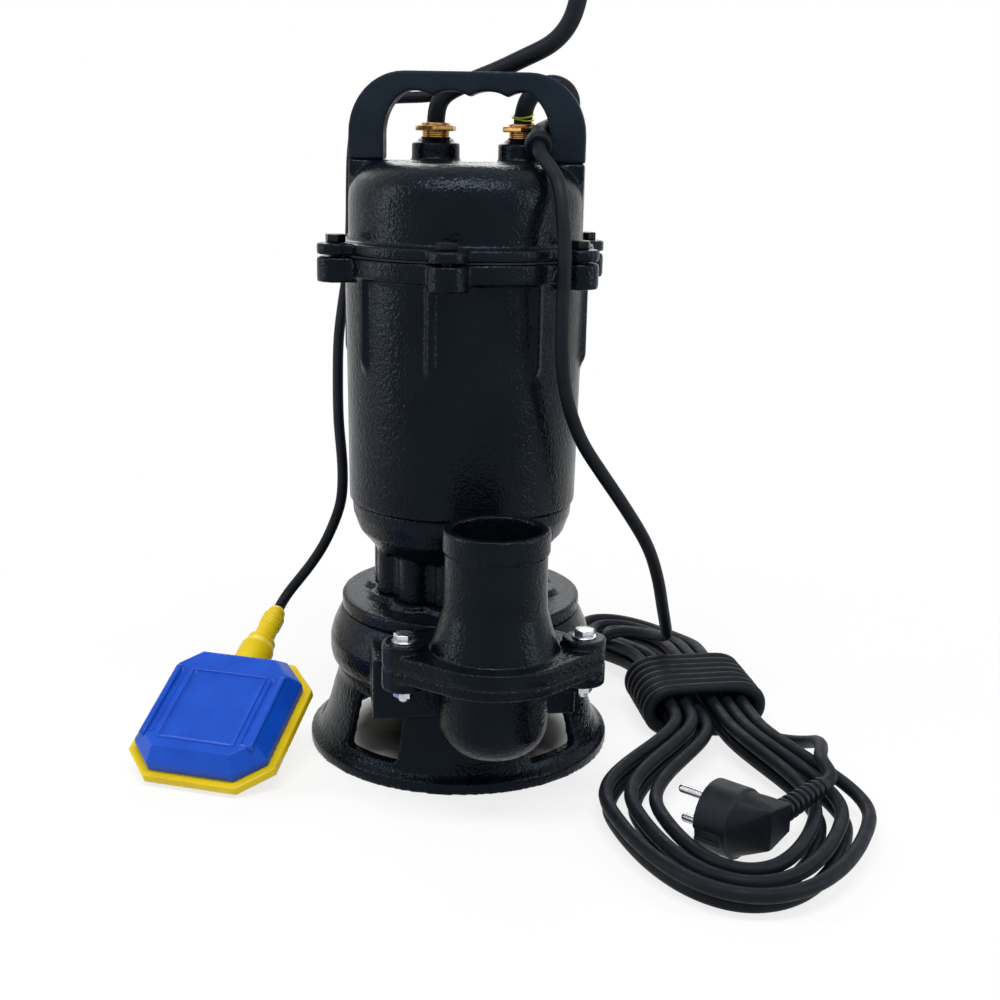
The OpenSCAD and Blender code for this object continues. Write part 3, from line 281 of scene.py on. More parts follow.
class Finish(Enum):
    """Every finish on the pump, by the record's material slot."""

    BLACK_PAINT = CastPaint("black_paint", (0.0016, 0.0024, 0.0042), (0.0038, 0.0055, 0.0088))
    MATTE_BLACK_PAINT = CastPaint("matte_black_paint", (0.007, 0.0105, 0.0165),
                                  (0.011, 0.016, 0.0235), 0.45, 520.0, 0.00022, 0.09)
    BLACK_PLASTIC = Moulded("black_plastic", (0.005, 0.007, 0.0105), (0.009, 0.012, 0.0165), 0.4,
                            gloss=0.14)
    BLACK_RUBBER = Moulded("black_rubber", (0.0042, 0.006, 0.009), (0.008, 0.0108, 0.0152), 0.5,
                           2300.0, 0.00002, 0.1)
    GASKET_RUBBER = Moulded("gasket_rubber", (0.008, 0.009, 0.011), (0.018, 0.019, 0.021), 0.7,
                            gloss=0.15)
    BRASS = Metal("brass", (0.62, 0.38, 0.14), (0.38, 0.2, 0.07), 0.3)
    ZINC = Metal("zinc", (0.66, 0.68, 0.72), (0.45, 0.47, 0.5), 0.28)
    BLACK_STEEL = Metal("black_steel", (0.011, 0.013, 0.017), (0.02, 0.022, 0.026), 0.4)
    STEEL = Metal("steel", (0.55, 0.56, 0.58), (0.4, 0.41, 0.43), 0.25, (1.0, 1.0, 12.0))
    BEARING_STEEL = Metal("bearing_steel", (0.7, 0.71, 0.73), (0.6, 0.61, 0.63), 0.12)
    LAMINATION = Laminated("lamination", (0.36, 0.37, 0.39))
    COPPER = Metal("copper", (0.62, 0.23, 0.1), (0.42, 0.13, 0.05), 0.3, (1.0, 1.0, 8.0), 0.00006)
    ALUMINIUM = Metal("aluminium", (0.7, 0.71, 0.73), (0.55, 0.56, 0.58), 0.35)
    CAST_IRON = Metal("cast_iron", (0.16, 0.16, 0.17), (0.09, 0.09, 0.1), 0.5, (1.0, 1.0, 1.0),
                      0.00015)
    CERAMIC = Moulded("ceramic", (0.75, 0.72, 0.64), (0.68, 0.65, 0.57), 0.2)
    CAPACITOR_PLASTIC = Moulded("capacitor_plastic", (0.7, 0.71, 0.74), (0.62, 0.63, 0.66), 0.3)
    TERMINAL_PLASTIC = Moulded("terminal_plastic", (0.74, 0.74, 0.68), (0.66, 0.66, 0.6), 0.4)
    WIRE_GREEN = Moulded("wire_green", (0.72, 0.8, 0.02), (0.6, 0.72, 0.02), 0.3, glow=0.1)
    FLOAT_BLUE = Moulded("float_blue", (0.004, 0.062, 0.46), (0.006, 0.078, 0.53), 0.34, 900.0,
                         0.00004, 0.2, glow=0.04)
    FLOAT_YELLOW = Moulded("float_yellow", (0.76, 0.58, 0.006), (0.68, 0.48, 0.005), 0.36, 900.0,
                           0.00004, 0.25, glow=0.06)


class Palette:
    """Makes each finish's material once."""

    def __init__(self) -> None:
        """Start with no material made."""
        self.made: dict[Finish, bpy.types.Material] = {}

    def __getitem__(self, finish: Finish) -> bpy.types.Material:
        """The finish's material."""
        if finish not in self.made:
            self.made[finish] = finish.value.material()
        return self.made[finish]


PALETTE = Palette()


# ---- Modelling tools -------------------------------------------------


def finished(name: str, bm: Shape, finish: Finish, crease: float = 35.0
             ) -> Piece:
    """Turn a shape into a shaded object; edges sharper than the crease stay sharp."""
    for face in bm.faces:
        face.smooth = True
    for edge in bm.edges:
        edge.smooth = not edge.is_manifold or edge.calc_face_angle(0.0) < math.radians(crease)
    mesh = bpy.data.meshes.new(name)
    bm.to_mesh(mesh)
    bm.free()
    mesh.materials.append(PALETTE[finish])
    return added(name, mesh)


def settle(piece: Piece, finish: Finish, body: Body, *nodes: str
           ) -> Piece:
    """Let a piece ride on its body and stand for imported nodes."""
    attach(piece, body.value)
    if nodes:
        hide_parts(*nodes)
    LOG.info("%s on %s", piece.name, body.value)
    return piece


def spun(profile: Sequence[tuple[float, float]], steps: int = 64) -> Shape:
    """Closed solid of revolution about Z.

    Args:
        profile: radius and height pairs, in metres; a loop, or a line from axis to axis.
        steps: number of steps round the axis.
    """
    bm = bmesh.new()
    verts = [bm.verts.new((r, 0.0, z)) for r, z in profile]
    edges = [bm.edges.new((a, b)) for a, b in zip(verts, verts[1:])]
    if min(profile[0][0], profile[-1][0]) > 1e-9:
        edges.append(bm.edges.new((verts[-1], verts[0])))
    bmesh.ops.spin(bm, geom=verts + edges, cent=(0, 0, 0), axis=(0, 0, 1), angle=2 * math.pi,
                   steps=steps, use_merge=True)
    bmesh.ops.remove_doubles(bm, verts=bm.verts, dist=1e-6)
    bmesh.ops.recalc_face_normals(bm, faces=bm.faces)
    return bm


def rounded(profile: Sequence[tuple[float, float]], radius: float, steps: int = 3
            ) -> list[tuple[float, float]]:
    """Round a profile's inner corners.

    Args:
        profile: radius and height pairs; its first and last points stay.
        radius: the largest rounding.
        steps: points added at each corner.
    """
    out = [profile[0]]
    for before, corner, after in zip(profile, profile[1:], profile[2:]):
        a, b, c = Vector(before), Vector(corner), Vector(after)
        reach = min(radius, (a - b).length * 0.45, (c - b).length * 0.45)
        start, end = b + (a - b).normalized() * reach, b + (c - b).normalized() * reach
        for i in range(steps + 1):
            t = i / steps
            p = start * (1 - t) ** 2 + b * 2 * t * (1 - t) + end * t ** 2
            out.append((p.x, p.y))
    out.append(profile[-1])
    return out


def joined(parts: Iterable[Shape]) -> Shape:
    """Put several bmeshes into one."""
    whole = bmesh.new()
    for part in parts:
        scratch = bpy.data.meshes.new("scratch")
        part.to_mesh(scratch)
        part.free()
        whole.from_mesh(scratch)
        bpy.data.meshes.remove(scratch)
    return whole


def hexagon(across: float, height: float, chamfer: float) -> Shape:
    """Hexagonal head with its corners turned off at both ends."""
    bm = bmesh.new()
    bmesh.ops.create_cone(bm, cap_ends=True, segments=6, radius1=across / math.cos(math.pi / 6) / 2,
                          radius2=across / math.cos(math.pi / 6) / 2, depth=height)
    bmesh.ops.translate(bm, verts=bm.verts, vec=(0, 0, height / 2))
    rims = [e for e in bm.edges if abs(e.verts[0].co.z - e.verts[1].co.z) < 1e-9]
    bmesh.ops.bevel(bm, geom=rims, offset=chamfer, segments=3, profile=0.5, affect="EDGES",
                    material=-1)
    return bm


def placed(bm: Shape, matrix: Matrix) -> Shape:
    """Transform a bmesh and return it."""
    bmesh.ops.transform(bm, matrix=matrix, verts=bm.verts)
    return bm


def along(start: Vector, end: Vector) -> Matrix:
    """Matrix that carries the Z axis to a line from start to end."""
    turn = (end - start).to_track_quat("Z", "Y").to_matrix().to_4x4()
    return Matrix.Translation(start) @ turn


def merged_copy(node: str) -> Shape:
    """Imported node's mesh with its loose triangles merged."""
    bm = bmesh.new()
    bm.from_mesh(FRAME["nodes"][node].data)
    bmesh.ops.remove_doubles(bm, verts=bm.verts, dist=2e-6)
    return bm


def applied(piece: Piece) -> None:
    """Apply a piece's modifiers to its mesh."""
    graph = bpy.context.evaluated_depsgraph_get()
    mesh = bpy.data.meshes.new_from_object(piece.evaluated_get(graph))
    old = piece.data
    piece.modifiers.clear()
    piece.data = mesh
    bpy.data.meshes.remove(old)


def casting(node: str, finish: Finish, body: Body, voxel: float = 0.0011, rounds: int = 3
            ) -> Piece:
    """Casting with every edge and corner rounded as sand casting leaves it.

    Args:
        node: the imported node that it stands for.
        finish: its finish.
        body: the body that it rides on.
        voxel: size of the surface's cells, in metres.
        rounds: smoothing passes.
    """
    bm = merged_copy(node)
    piece = finished(f"{node}_cast", bm, finish, crease=180.0)
    remesh = piece.modifiers.new("skin", "REMESH")
    remesh.mode, remesh.voxel_size, remesh.use_smooth_shade = "VOXEL", voxel, True
    smooth = piece.modifiers.new("rounding", "SMOOTH")
    smooth.factor, smooth.iterations = 0.5, rounds
    applied(piece)
    piece.data.materials.clear()
    piece.data.materials.append(PALETTE[finish])
    return settle(piece, finish, body, node)


def softened(node: str, finish: Finish, body: Body, width: float = 0.0005, segments: int = 2,
             flat: float = 1.0) -> Piece:
    """Machined or moulded part whose edges are broken by a small bevel.

    Args:
        node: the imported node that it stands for.
        finish: its finish.
        body: the body that it rides on.
        width: the bevel's width, in metres.
        segments: the bevel's steps.
        flat: faces within this many degrees become one.
    """
    bm = merged_copy(node)
    bmesh.ops.dissolve_limit(bm, angle_limit=math.radians(flat), verts=bm.verts, edges=bm.edges)
    piece = finished(f"{node}_edged", bm, finish, CREASE)
    bevel = piece.modifiers.new("edges", "BEVEL")
    bevel.width, bevel.segments, bevel.limit_method = width, segments, "ANGLE"
    bevel.angle_limit = math.radians(CREASE)
    bevel.harden_normals = True
    return settle(piece, finish, body, node)


def dressed(node: str, finish: Finish) -> None:
    """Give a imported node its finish."""
    data = FRAME["nodes"][node].data
    data.materials.clear()
    data.materials.append(PALETTE[finish])


# ---- Studio ----------------------------------------------------------


@dataclass(frozen=True)
class Lamp:
    """Soft rectangular lamp that faces a point on the pump's axis."""

    name: str
    place: Point
    aim: float  # height of the point that it faces
    size: tuple[float, float]  # width and height, in metres
    power: float  # in watts

    def build(self) -> None:
        """Add the lamp."""
        data = bpy.data.lights.new(self.name, "AREA")
        data.shape, (data.size, data.size_y), data.energy = "RECTANGLE", self.size, self.power
        lamp = added(self.name, data)
        lamp.location = self.place
        way = Vector((0, 0, self.aim)) - Vector(self.place)
        lamp.rotation_euler = way.to_track_quat("-Z", "Y").to_euler()


@dataclass
class Studio:
    """Camera, lamps, floor and backdrop, in metres and degrees."""

    position: Point = (0.0995, -0.8117, 0.3579)
    heading: float = 5.39
    pitch: float = 14.31
    roll: float = 1.21
    lens: float = 50.52
    sensor: float = 36.0
    nearest: float = 0.01
    fill: float = 0.26  # light from the surroundings, where 1 is what the camera sees
    floor_size: float = 6.0
    floor_drop: float = 0.0002
    # A near and a far distance from the axis, and the values there. The floor's colour falls to
    # near black close to the axis: a painted shadow under the pump.
    floor_colour_painted_shadow: tuple[float, ...] = (0.03, 0.085, 0.04, 0.9)
    floor_white: tuple[tuple[float, ...], ...] = (
        (0.06, 0.09, 0.0, 0.78), (0.2, 0.5, 1.0, 1.0 / 0.78))
    lamps: tuple[Lamp, ...] = (
        Lamp("left_box", (-1.15, -0.3, 0.55), 0.2, (0.17, 1.0), 5.2),
        Lamp("right_box", (1.15, -0.25, 0.55), 0.2, (0.15, 0.9), 4.3),
        Lamp("top_box", (0.05, -0.5, 1.25), 0.25, (1.1, 0.22), 12.5),
        Lamp("rear_box", (-0.2, 0.95, 0.85), 0.3, (0.9, 0.5), 5.0))

    def camera(self) -> None:
        """Place the camera and make it the scene's own."""
        data = bpy.data.cameras.new("view")
        data.lens, data.sensor_width, data.clip_start = self.lens, self.sensor, self.nearest
        camera = added("view", data)
        turn = Matrix.Rotation(math.radians(self.heading), 3, "Z")
        pitch, roll = math.radians(self.pitch), math.radians(self.roll)
        ahead = turn @ Vector((0, math.cos(pitch), -math.sin(pitch)))
        down = turn @ Vector((0, -math.sin(pitch), -math.cos(pitch)))
        right = turn @ Vector((1, 0, 0))
        level = right * math.cos(roll) - down * math.sin(roll)
        below = right * math.sin(roll) + down * math.cos(roll)
        rotation = Matrix((level, -below, -ahead)).transposed()
        camera.matrix_world = Matrix.Translation(self.position) @ rotation.to_4x4()
        bpy.context.scene.camera = camera

    @staticmethod
    def seen(tree: bpy.types.NodeTree) -> Socket:
        """1 for rays from the camera, straight, mirrored or through glass, and 0 for others."""
        path = tree.nodes.new("ShaderNodeLightPath")
        total = path.outputs["Is Camera Ray"]
        for ray in ("Is Glossy Ray", "Is Transmission Ray"):
            node = tree.nodes.new("ShaderNodeMath")
            node.operation = "MAXIMUM"
            tree.links.new(total, node.inputs[0])
            tree.links.new(path.outputs[ray], node.inputs[1])
            total = node.outputs[0]
        return total

    @staticmethod
    def reach(tree: bpy.types.NodeTree, *limits: float) -> Socket:
        """Value that eases between two values as a floor point's distance goes near to far."""
        place = tree.nodes.new("ShaderNodeNewGeometry")
        length = tree.nodes.new("ShaderNodeVectorMath")
        length.operation = "LENGTH"
        tree.links.new(place.outputs["Position"], length.inputs[0])
        return mapped(tree, length.outputs["Value"], *limits, easing="SMOOTHSTEP")

    def world(self) -> None:
        """White surroundings to look at, and a plain level of light from them."""
        world = bpy.data.worlds.new("surroundings")
        bpy.context.scene.world = world
        world.use_nodes = True
        tree = world.node_tree
        back = tree.nodes["Background"]
        level = mapped(tree, self.seen(tree), 0.0, 1.0, self.fill, 1.0)
        tree.links.new(level, back.inputs["Strength"])
        back.inputs["Color"].default_value = (1.0, 1.0, 1.0, 1.0)

    def floor(self) -> None:
        """Pale floor that runs to the horizon and keeps the pump's shadow, with a painted shadow in
        its colour near the axis.
        """
        bm = bmesh.new()
        bmesh.ops.create_grid(bm, x_segments=1, y_segments=1, size=self.floor_size)
        bmesh.ops.translate(bm, verts=bm.verts, vec=(0, 0, -self.floor_drop))
        mesh = bpy.data.meshes.new("floor")
        bm.to_mesh(mesh)
        bm.free()
        floor = added("floor", mesh)
        material = bpy.data.materials.new("floor")
        material.use_nodes = True
        tree = material.node_tree
        tree.nodes.remove(tree.nodes["Principled BSDF"])
        diffuse = tree.nodes.new("ShaderNodeBsdfDiffuse")
        # Floor colour dark near the axis and pale further out: a painted shadow under the pump.
        tree.links.new(self.reach(tree, *self.floor_colour_painted_shadow), diffuse.inputs["Color"])
        white = tree.nodes.new("ShaderNodeEmission")
        white.inputs["Color"].default_value = (1.0, 1.0, 1.0, 1.0)
        share = self.seen(tree)
        for limits in self.floor_white:
            node = tree.nodes.new("ShaderNodeMath")
            node.operation = "MULTIPLY"
            tree.links.new(share, node.inputs[0])
            tree.links.new(self.reach(tree, *limits), node.inputs[1])
            share = node.outputs[0]
        mix = tree.nodes.new("ShaderNodeMixShader")
        tree.links.new(share, mix.inputs["Fac"])
        tree.links.new(diffuse.outputs[0], mix.inputs[1])
        tree.links.new(white.outputs[0], mix.inputs[2])
        tree.links.new(mix.outputs[0], tree.nodes["Material Output"].inputs["Surface"])
        mesh.materials.append(material)

    def build(self) -> None:
        """Set the stage, the camera first."""
        self.camera()
        bpy.context.scene.view_settings.view_transform = "Standard"
        self.world()
        self.floor()
        for lamp in self.lamps:
            lamp.build()


# ---- Cables ----------------------------------------------------------


def smooth_route(points: Sequence[Point | Vector], per_span: int = 6) -> list[Vector]:
    """Curve in metres through points in millimetres, with even easing in uneven spans."""
    p = [Vector(q) * MM for q in points]
    slopes = []
    for i, q in enumerate(p):
        a, b = p[max(i - 1, 0)], p[min(i + 1, len(p) - 1)]
        slopes.append((b - a).normalized())
    out = []
    for i in range(len(p) - 1):
        span = (p[i + 1] - p[i]).length
        for k in range(per_span):
            t = k / per_span
            h1, h2 = 2 * t ** 3 - 3 * t ** 2 + 1, t ** 3 - 2 * t ** 2 + t
            h3, h4 = -2 * t ** 3 + 3 * t ** 2, t ** 3 - t ** 2
            out.append(p[i] * h1 + slopes[i] * span * h2 + p[i + 1] * h3
                       + slopes[i + 1] * span * h4)
    out.append(p[-1])
    return out


def relaxed(route: Sequence[Vector], step: float = 0.002, rounds: int = 14) -> list[Vector]:
    """Even out a route's points and take the kinks out of it.

    Args:
        route: points in metres, whose ends stay.
        step: the new distance between points.
        rounds: smoothing passes.
    """
    lengths = [0.0]
    for a, b in zip(route, route[1:]):
        lengths.append(lengths[-1] + (b - a).length)
    count = round(lengths[-1] / step)
    even, k = [], 0
    for i in range(count + 1):
        wanted = lengths[-1] * i / count
        while k < len(route) - 2 and lengths[k + 1] < wanted:
            k += 1
        span = max(lengths[k + 1] - lengths[k], 1e-9)
        even.append(route[k].lerp(route[k + 1], min(1.0, (wanted - lengths[k]) / span)))
    for _ in range(rounds):
        even = [even[0], *[(a + b * 2 + c) / 4 for a, b, c in zip(even, even[1:], even[2:])],
                even[-1]]
    return even


def route_length(route: Sequence[Vector]) -> float:
    """Length of a polyline, in metres."""
    return sum((b - a).length for a, b in zip(route, route[1:]))


def cable(name: str, route: Sequence[Vector], diameter: float, finish: Finish
          ) -> Piece:
    """Round cable along a route in metres, as one open spline."""
    data = bpy.data.curves.new(name, "CURVE")
    data.dimensions, data.bevel_depth, data.bevel_resolution = "3D", diameter / 2, 4
    data.use_fill_caps = True
    spline = data.splines.new("POLY")
    spline.points.add(len(route) - 1)
    for point, place in zip(spline.points, route):
        point.co = (*place, 1.0)
    spline.use_smooth = True
    data.materials.append(PALETTE[finish])
    return added(name, data)


def ring_along(start: Vector, end: Vector, profile: Sequence[tuple[float, float]]
               ) -> Shape:
    """Turned shape whose axis runs from start towards end."""
    return placed(spun(profile, 32), along(start, end))


@dataclass
class FloatCable:
    """Cable from its gland to the float, with the thick sleeve at the gland."""

    diameter: float = 6.7
    sleeve: float = 10.6
    sleeve_route: tuple[Point, ...] = (
        (-21, 22, 347), (-21, 22, 372), (-19, 23, 382), (-9, 24, 388), (16, 24, 398.4),
        (32.4, 24, 406.3), (45, 24, 412.5), (55, 24, 424), (59.5, 24.5, 440), (60, 29, 453),
        (60, 37, 459), (60, 46, 459))
    lead_route: tuple[Point, ...] = (
        (60, 46, 459), (60, 53, 459), (59, 63, 452), (57, 66, 438), (50, 64, 423), (40, 59, 412),
        (25, 55, 404), (8, 49, 396), (-10, 43, 387), (-27, 40, 383), (-46, 40, 382),
        (-62, 45, 380), (-72, 52, 374), (-79, 65, 352), (-82, 75, 330), (-83, 78, 306),
        (-84, 75, 280), (-86, 68, 259), (-87, 58, 236), (-86, 50, 212), (-84, 42, 186),
        (-80, 34, 158), (-80, 30, 138), (-84, 30, 125), (-91, 30, 109), (-99, 29.5, 96),
        (-108, 28, 84), (-114, 25, 76.4))
    pivot: Point = (-118.4, 10.1, 66.7)
    axis: Point = (0.1526, 0.8834, 0.4431)
    nose: float = 5.9

    def build(self) -> None:
        pivot, axis = Vector(self.pivot), Vector(self.axis)
        end = [pivot + axis * (self.nose + self.diameter), pivot + axis * self.nose]
        sleeve_line = relaxed(smooth_route(self.sleeve_route))
        sleeve = cable("float_cable_sleeve", sleeve_line, self.sleeve * MM, Finish.BLACK_RUBBER)
        settle(sleeve, Finish.BLACK_RUBBER, Body.PUMP, "float_sleeve")
        route = relaxed(smooth_route([*self.sleeve_route[1:], *self.lead_route[1:], *end]))
        cord = cable("float_cable", route, self.diameter * MM, Finish.BLACK_RUBBER)
        settle(cord, Finish.BLACK_RUBBER, Body.PUMP, "float_lead")
        route_length(route)


@dataclass
class Hank:
    """Loops of the supply cable, narrow at the waist, in two layers.

    Lengths are in millimetres. Steps are what each turn lies further in than the last.
    """

    diameter: float = 7.7
    turns: float = 5.3
    waist: tuple[float, float] = (146.0, 36.0)
    middle: float = 43.5
    half: float = 201.5
    front_width: float = 93.0
    rear_width: float = 65.0
    end_step: float = 12.0
    front_step: float = 15.0
    rear_step: float = 16.0
    waist_step: float = 9.4
    start: float = 48.0
    turn_back: float = 2.883  # turns after which the cable goes outwards again, a layer lower
    layer_turns: float = 0.5  # turns over which it steps down
    layer_gap: float = 0.9
    waist_gap: float = 0.6  # what the strands rise by at the waist, above their diameter
    waist_strands: float = 3.13  # the outermost strand's place there, in waist steps
    tip_bluntness: float = 0.16
    lift: float = 0.05
    # Distance from the waist where the strands begin to spread, and over what length.
    front_grip: tuple[float, float] = (40.0, 110.0)
    rear_grip: tuple[float, float] = (55.0, 75.0)
    # The sweep of the hank: its slope, and the curve that starts at a distance and eases in.
    slope: float = 0.24
    curl: float = 0.21
    curl_from: float = 38.0
    curl_ease: float = 25.0

    @property
    def rest_z(self) -> float:
        """Height of a strand's centre on the ground."""
        return self.diameter / 2 + self.lift

    @staticmethod
    def ease(x: float) -> float:
        """Smooth step from 0 to 1."""
        c = max(0.0, min(1.0, x))
        return c * c * (3 - 2 * c)

    def share(self, s: float) -> float:
        """How far the strands are drawn in to the waist at a distance along the hank."""
        begin, length = self.front_grip if s > 0 else self.rear_grip
        return 1 - self.ease((abs(s) - begin) / length)

    def bend(self, s: float) -> float:
        """Sideways sweep of the hank along its length."""
        k = max(abs(s) - self.curl_from, 0.0)
        return self.slope * s - self.curl * k * k / (k + self.curl_ease)

    def point(self, u: float) -> Vector:
        """Centre of the cable after u turns, in millimetres."""
        q = u if u < self.turn_back else 2 * self.turn_back - u
        phi = math.radians(self.start - 360 * u)
        s = self.middle - (self.half - self.end_step * q) * math.cos(phi)
        side = -1 if math.sin(phi) > 0 else 1
        lobe = (self.front_width - self.front_step * q if s > 0
                else self.rear_width - self.rear_step * q)
        share = self.share(s)
        blunt = 1.0 if s > 0 else 1 - self.tip_bluntness * q
        waist = self.waist_strands * self.waist_step - self.waist_step * q
        across = side * (share * waist + (1 - share) * abs(math.sin(phi)) ** blunt * lobe)
        layer = 1 - self.ease((u - self.turn_back) / self.layer_turns + 0.5)
        return Vector((self.waist[0] + self.bend(s) + across, self.waist[1] - s,
                       self.rest_z + (self.diameter + self.layer_gap) * layer
                       + (self.diameter + self.waist_gap) * share))

    def line(self, per_turn: int = 90) -> list[Vector]:
        """Points along the loops, in millimetres."""
        count = round(self.turns * per_turn)
        return [self.point(self.turns * i / count) for i in range(count + 1)]


@dataclass
class Wraps:
    """Turns of the same cable that bind the hank at its waist.

    Their section is a circle cut in two halves, with flats between them; in millimetres.
    """

    hank: Hank
    turns: float = 6.89
    step: float = 8.5
    radius: float = 12.9
    flat: float = 24.5
    start: float = -34.0
    offset: float = 2.3

    def section(self, distance: float) -> tuple[float, float]:
        """Point at a distance round the flattened circle, from its right side upwards."""
        arc, flat = math.pi * self.radius / 2, 2 * self.flat
        d = distance % (4 * arc + 2 * flat)
        if d < arc:
            a = d / self.radius
            return self.flat + self.radius * math.cos(a), self.radius * math.sin(a)
        if d < arc + flat:
            return self.flat - (d - arc), self.radius
        if d < 3 * arc + flat:
            a = math.pi / 2 + (d - arc - flat) / self.radius
            return -self.flat + self.radius * math.cos(a), self.radius * math.sin(a)
        if d < 3 * arc + 2 * flat:
            return -self.flat + (d - 3 * arc - flat), -self.radius
        a = -math.pi / 2 + (d - 3 * arc - 2 * flat) / self.radius
        return self.flat + self.radius * math.cos(a), self.radius * math.sin(a)

    def point(self, turns: float) -> Vector:
        """Centre of the cable after a number of turns, in millimetres."""
        length = 4 * self.flat + 2 * math.pi * self.radius
        x, z = self.section(turns * length)
        axis = Vector((self.hank.slope, -1, 0)).normalized()
        side = Vector((-axis.y, axis.x, 0))
        middle = Vector((*self.hank.waist, self.hank.rest_z + self.radius))
        return (middle + axis * (self.start + self.step * turns) + side * (x + self.offset)
                + Vector((0, 0, z)))

    def line(self, per_turn: int = 60) -> list[Vector]:
        """Points along the turns, in millimetres."""
        count = round(self.turns * per_turn)
        return [self.point(self.turns * i / count) for i in range(count + 1)]


@dataclass
class Plug:
    """Two-pin mains plug that lies inside the hank's front lobe, its cable out at the side."""

    place: Point = (150.0, -131.0, 19.5)
    turn: float = -34.0
    outlet_angle: float = 80.0
    relief_from: tuple[float, float] = (27.0, 24.0)
    relief_length: float = 38.0
    relief_rise: float = 8.0
    rib_count: int = 8
    rib_pitch: float = 4.3
    first_rib: float = 3.0
    rib_radius: tuple[float, float] = (6.6, 0.18)  # at the foot, and how it tapers per rib
    core_radius: tuple[float, float] = (5.2, 0.1)

    def at(self, x: float, y: float, z: float = 0.0) -> Vector:
        """Point in the plug's own frame, in millimetres of the pump's frame."""
        a = math.radians(self.turn)
        return Vector(self.place) + Vector((x * math.cos(a) - y * math.sin(a),
                                            x * math.sin(a) + y * math.cos(a), z))

    @property
    def relief_tip(self) -> Vector:
        """Where the cable enters the strain relief."""
        a, rise = math.radians(self.outlet_angle), math.radians(self.relief_rise)
        reach = self.relief_length * math.cos(rise)
        return self.at(self.relief_from[0] + reach * math.cos(a),
                       self.relief_from[1] + reach * math.sin(a),
                       self.relief_length * math.sin(rise))

    @property
    def relief_foot(self) -> Vector:
        """Where the strain relief leaves the plug."""
        return self.at(*self.relief_from)

    def relief(self) -> Piece:
        """Tapered strain relief with its ribs."""
        profile = [(0.0, 0.0), (5.6, 0.0), (5.3, self.first_rib)]
        for i in range(self.rib_count):
            low = self.first_rib + self.rib_pitch * i
            rim = self.rib_radius[0] - self.rib_radius[1] * i
            core = self.core_radius[0] - self.core_radius[1] * i
            profile += [(core, low), (rim - 0.35, low + 0.15), (rim, low + 0.6),
                        (rim, low + 1.6), (rim - 0.35, low + 2.05), (core, low + 2.2)]
        profile += [(4.5, self.relief_length - 0.5), (4.2, self.relief_length),
                    (0.0, self.relief_length)]
        start, end = self.relief_foot * MM, self.relief_tip * MM
        bm = ring_along(start, end, [(r * MM, z * MM) for r, z in profile])
        piece = finished("plug_relief", bm, Finish.BLACK_PLASTIC, 50.0)
        return settle(piece, Finish.BLACK_PLASTIC, Body.PUMP, "plug_strain_relief")

    def build(self) -> list[Piece]:
        """Make the plug's body, pins and strain relief."""
        body = casting("plug_body", Finish.BLACK_PLASTIC, Body.PUMP, 0.0005, 3)
        pins = softened("plug_pins", Finish.STEEL, Body.PUMP, 0.0002)
        return [body, pins, self.relief()]


@dataclass
class WireTie:
    """Thin wire wound twice round the sleeve above its gland, in millimetres."""

    centre: tuple[float, float] = (29.5, 22.0)
    height: float = 369.6
    radius: float = 6.1
    wire: float = 1.0
    climb: float = 0.28  # per radian
    tilt: float = 1.3
    drift: float = 0.15  # how far the tilt turns, in radians per radian
    steps: int = 28  # points in a turn
    points: int = 66

    def point(self, a: float) -> Vector:
        """Centre of the wire after an angle, in metres."""
        x, y = self.centre
        return MM * Vector((x + self.radius * math.cos(a), y + self.radius * math.sin(a),
                            self.height + self.climb * a
                            - self.tilt * math.cos(a + self.drift * a)))

    def build(self) -> Piece:
        """Make the wire."""
        turns = [self.point(math.tau * i / self.steps) for i in range(self.points)]
        piece = cable("gland_wire", turns, self.wire * MM, Finish.WIRE_GREEN)
        return settle(piece, Finish.WIRE_GREEN, Body.PUMP, "wire_tie")


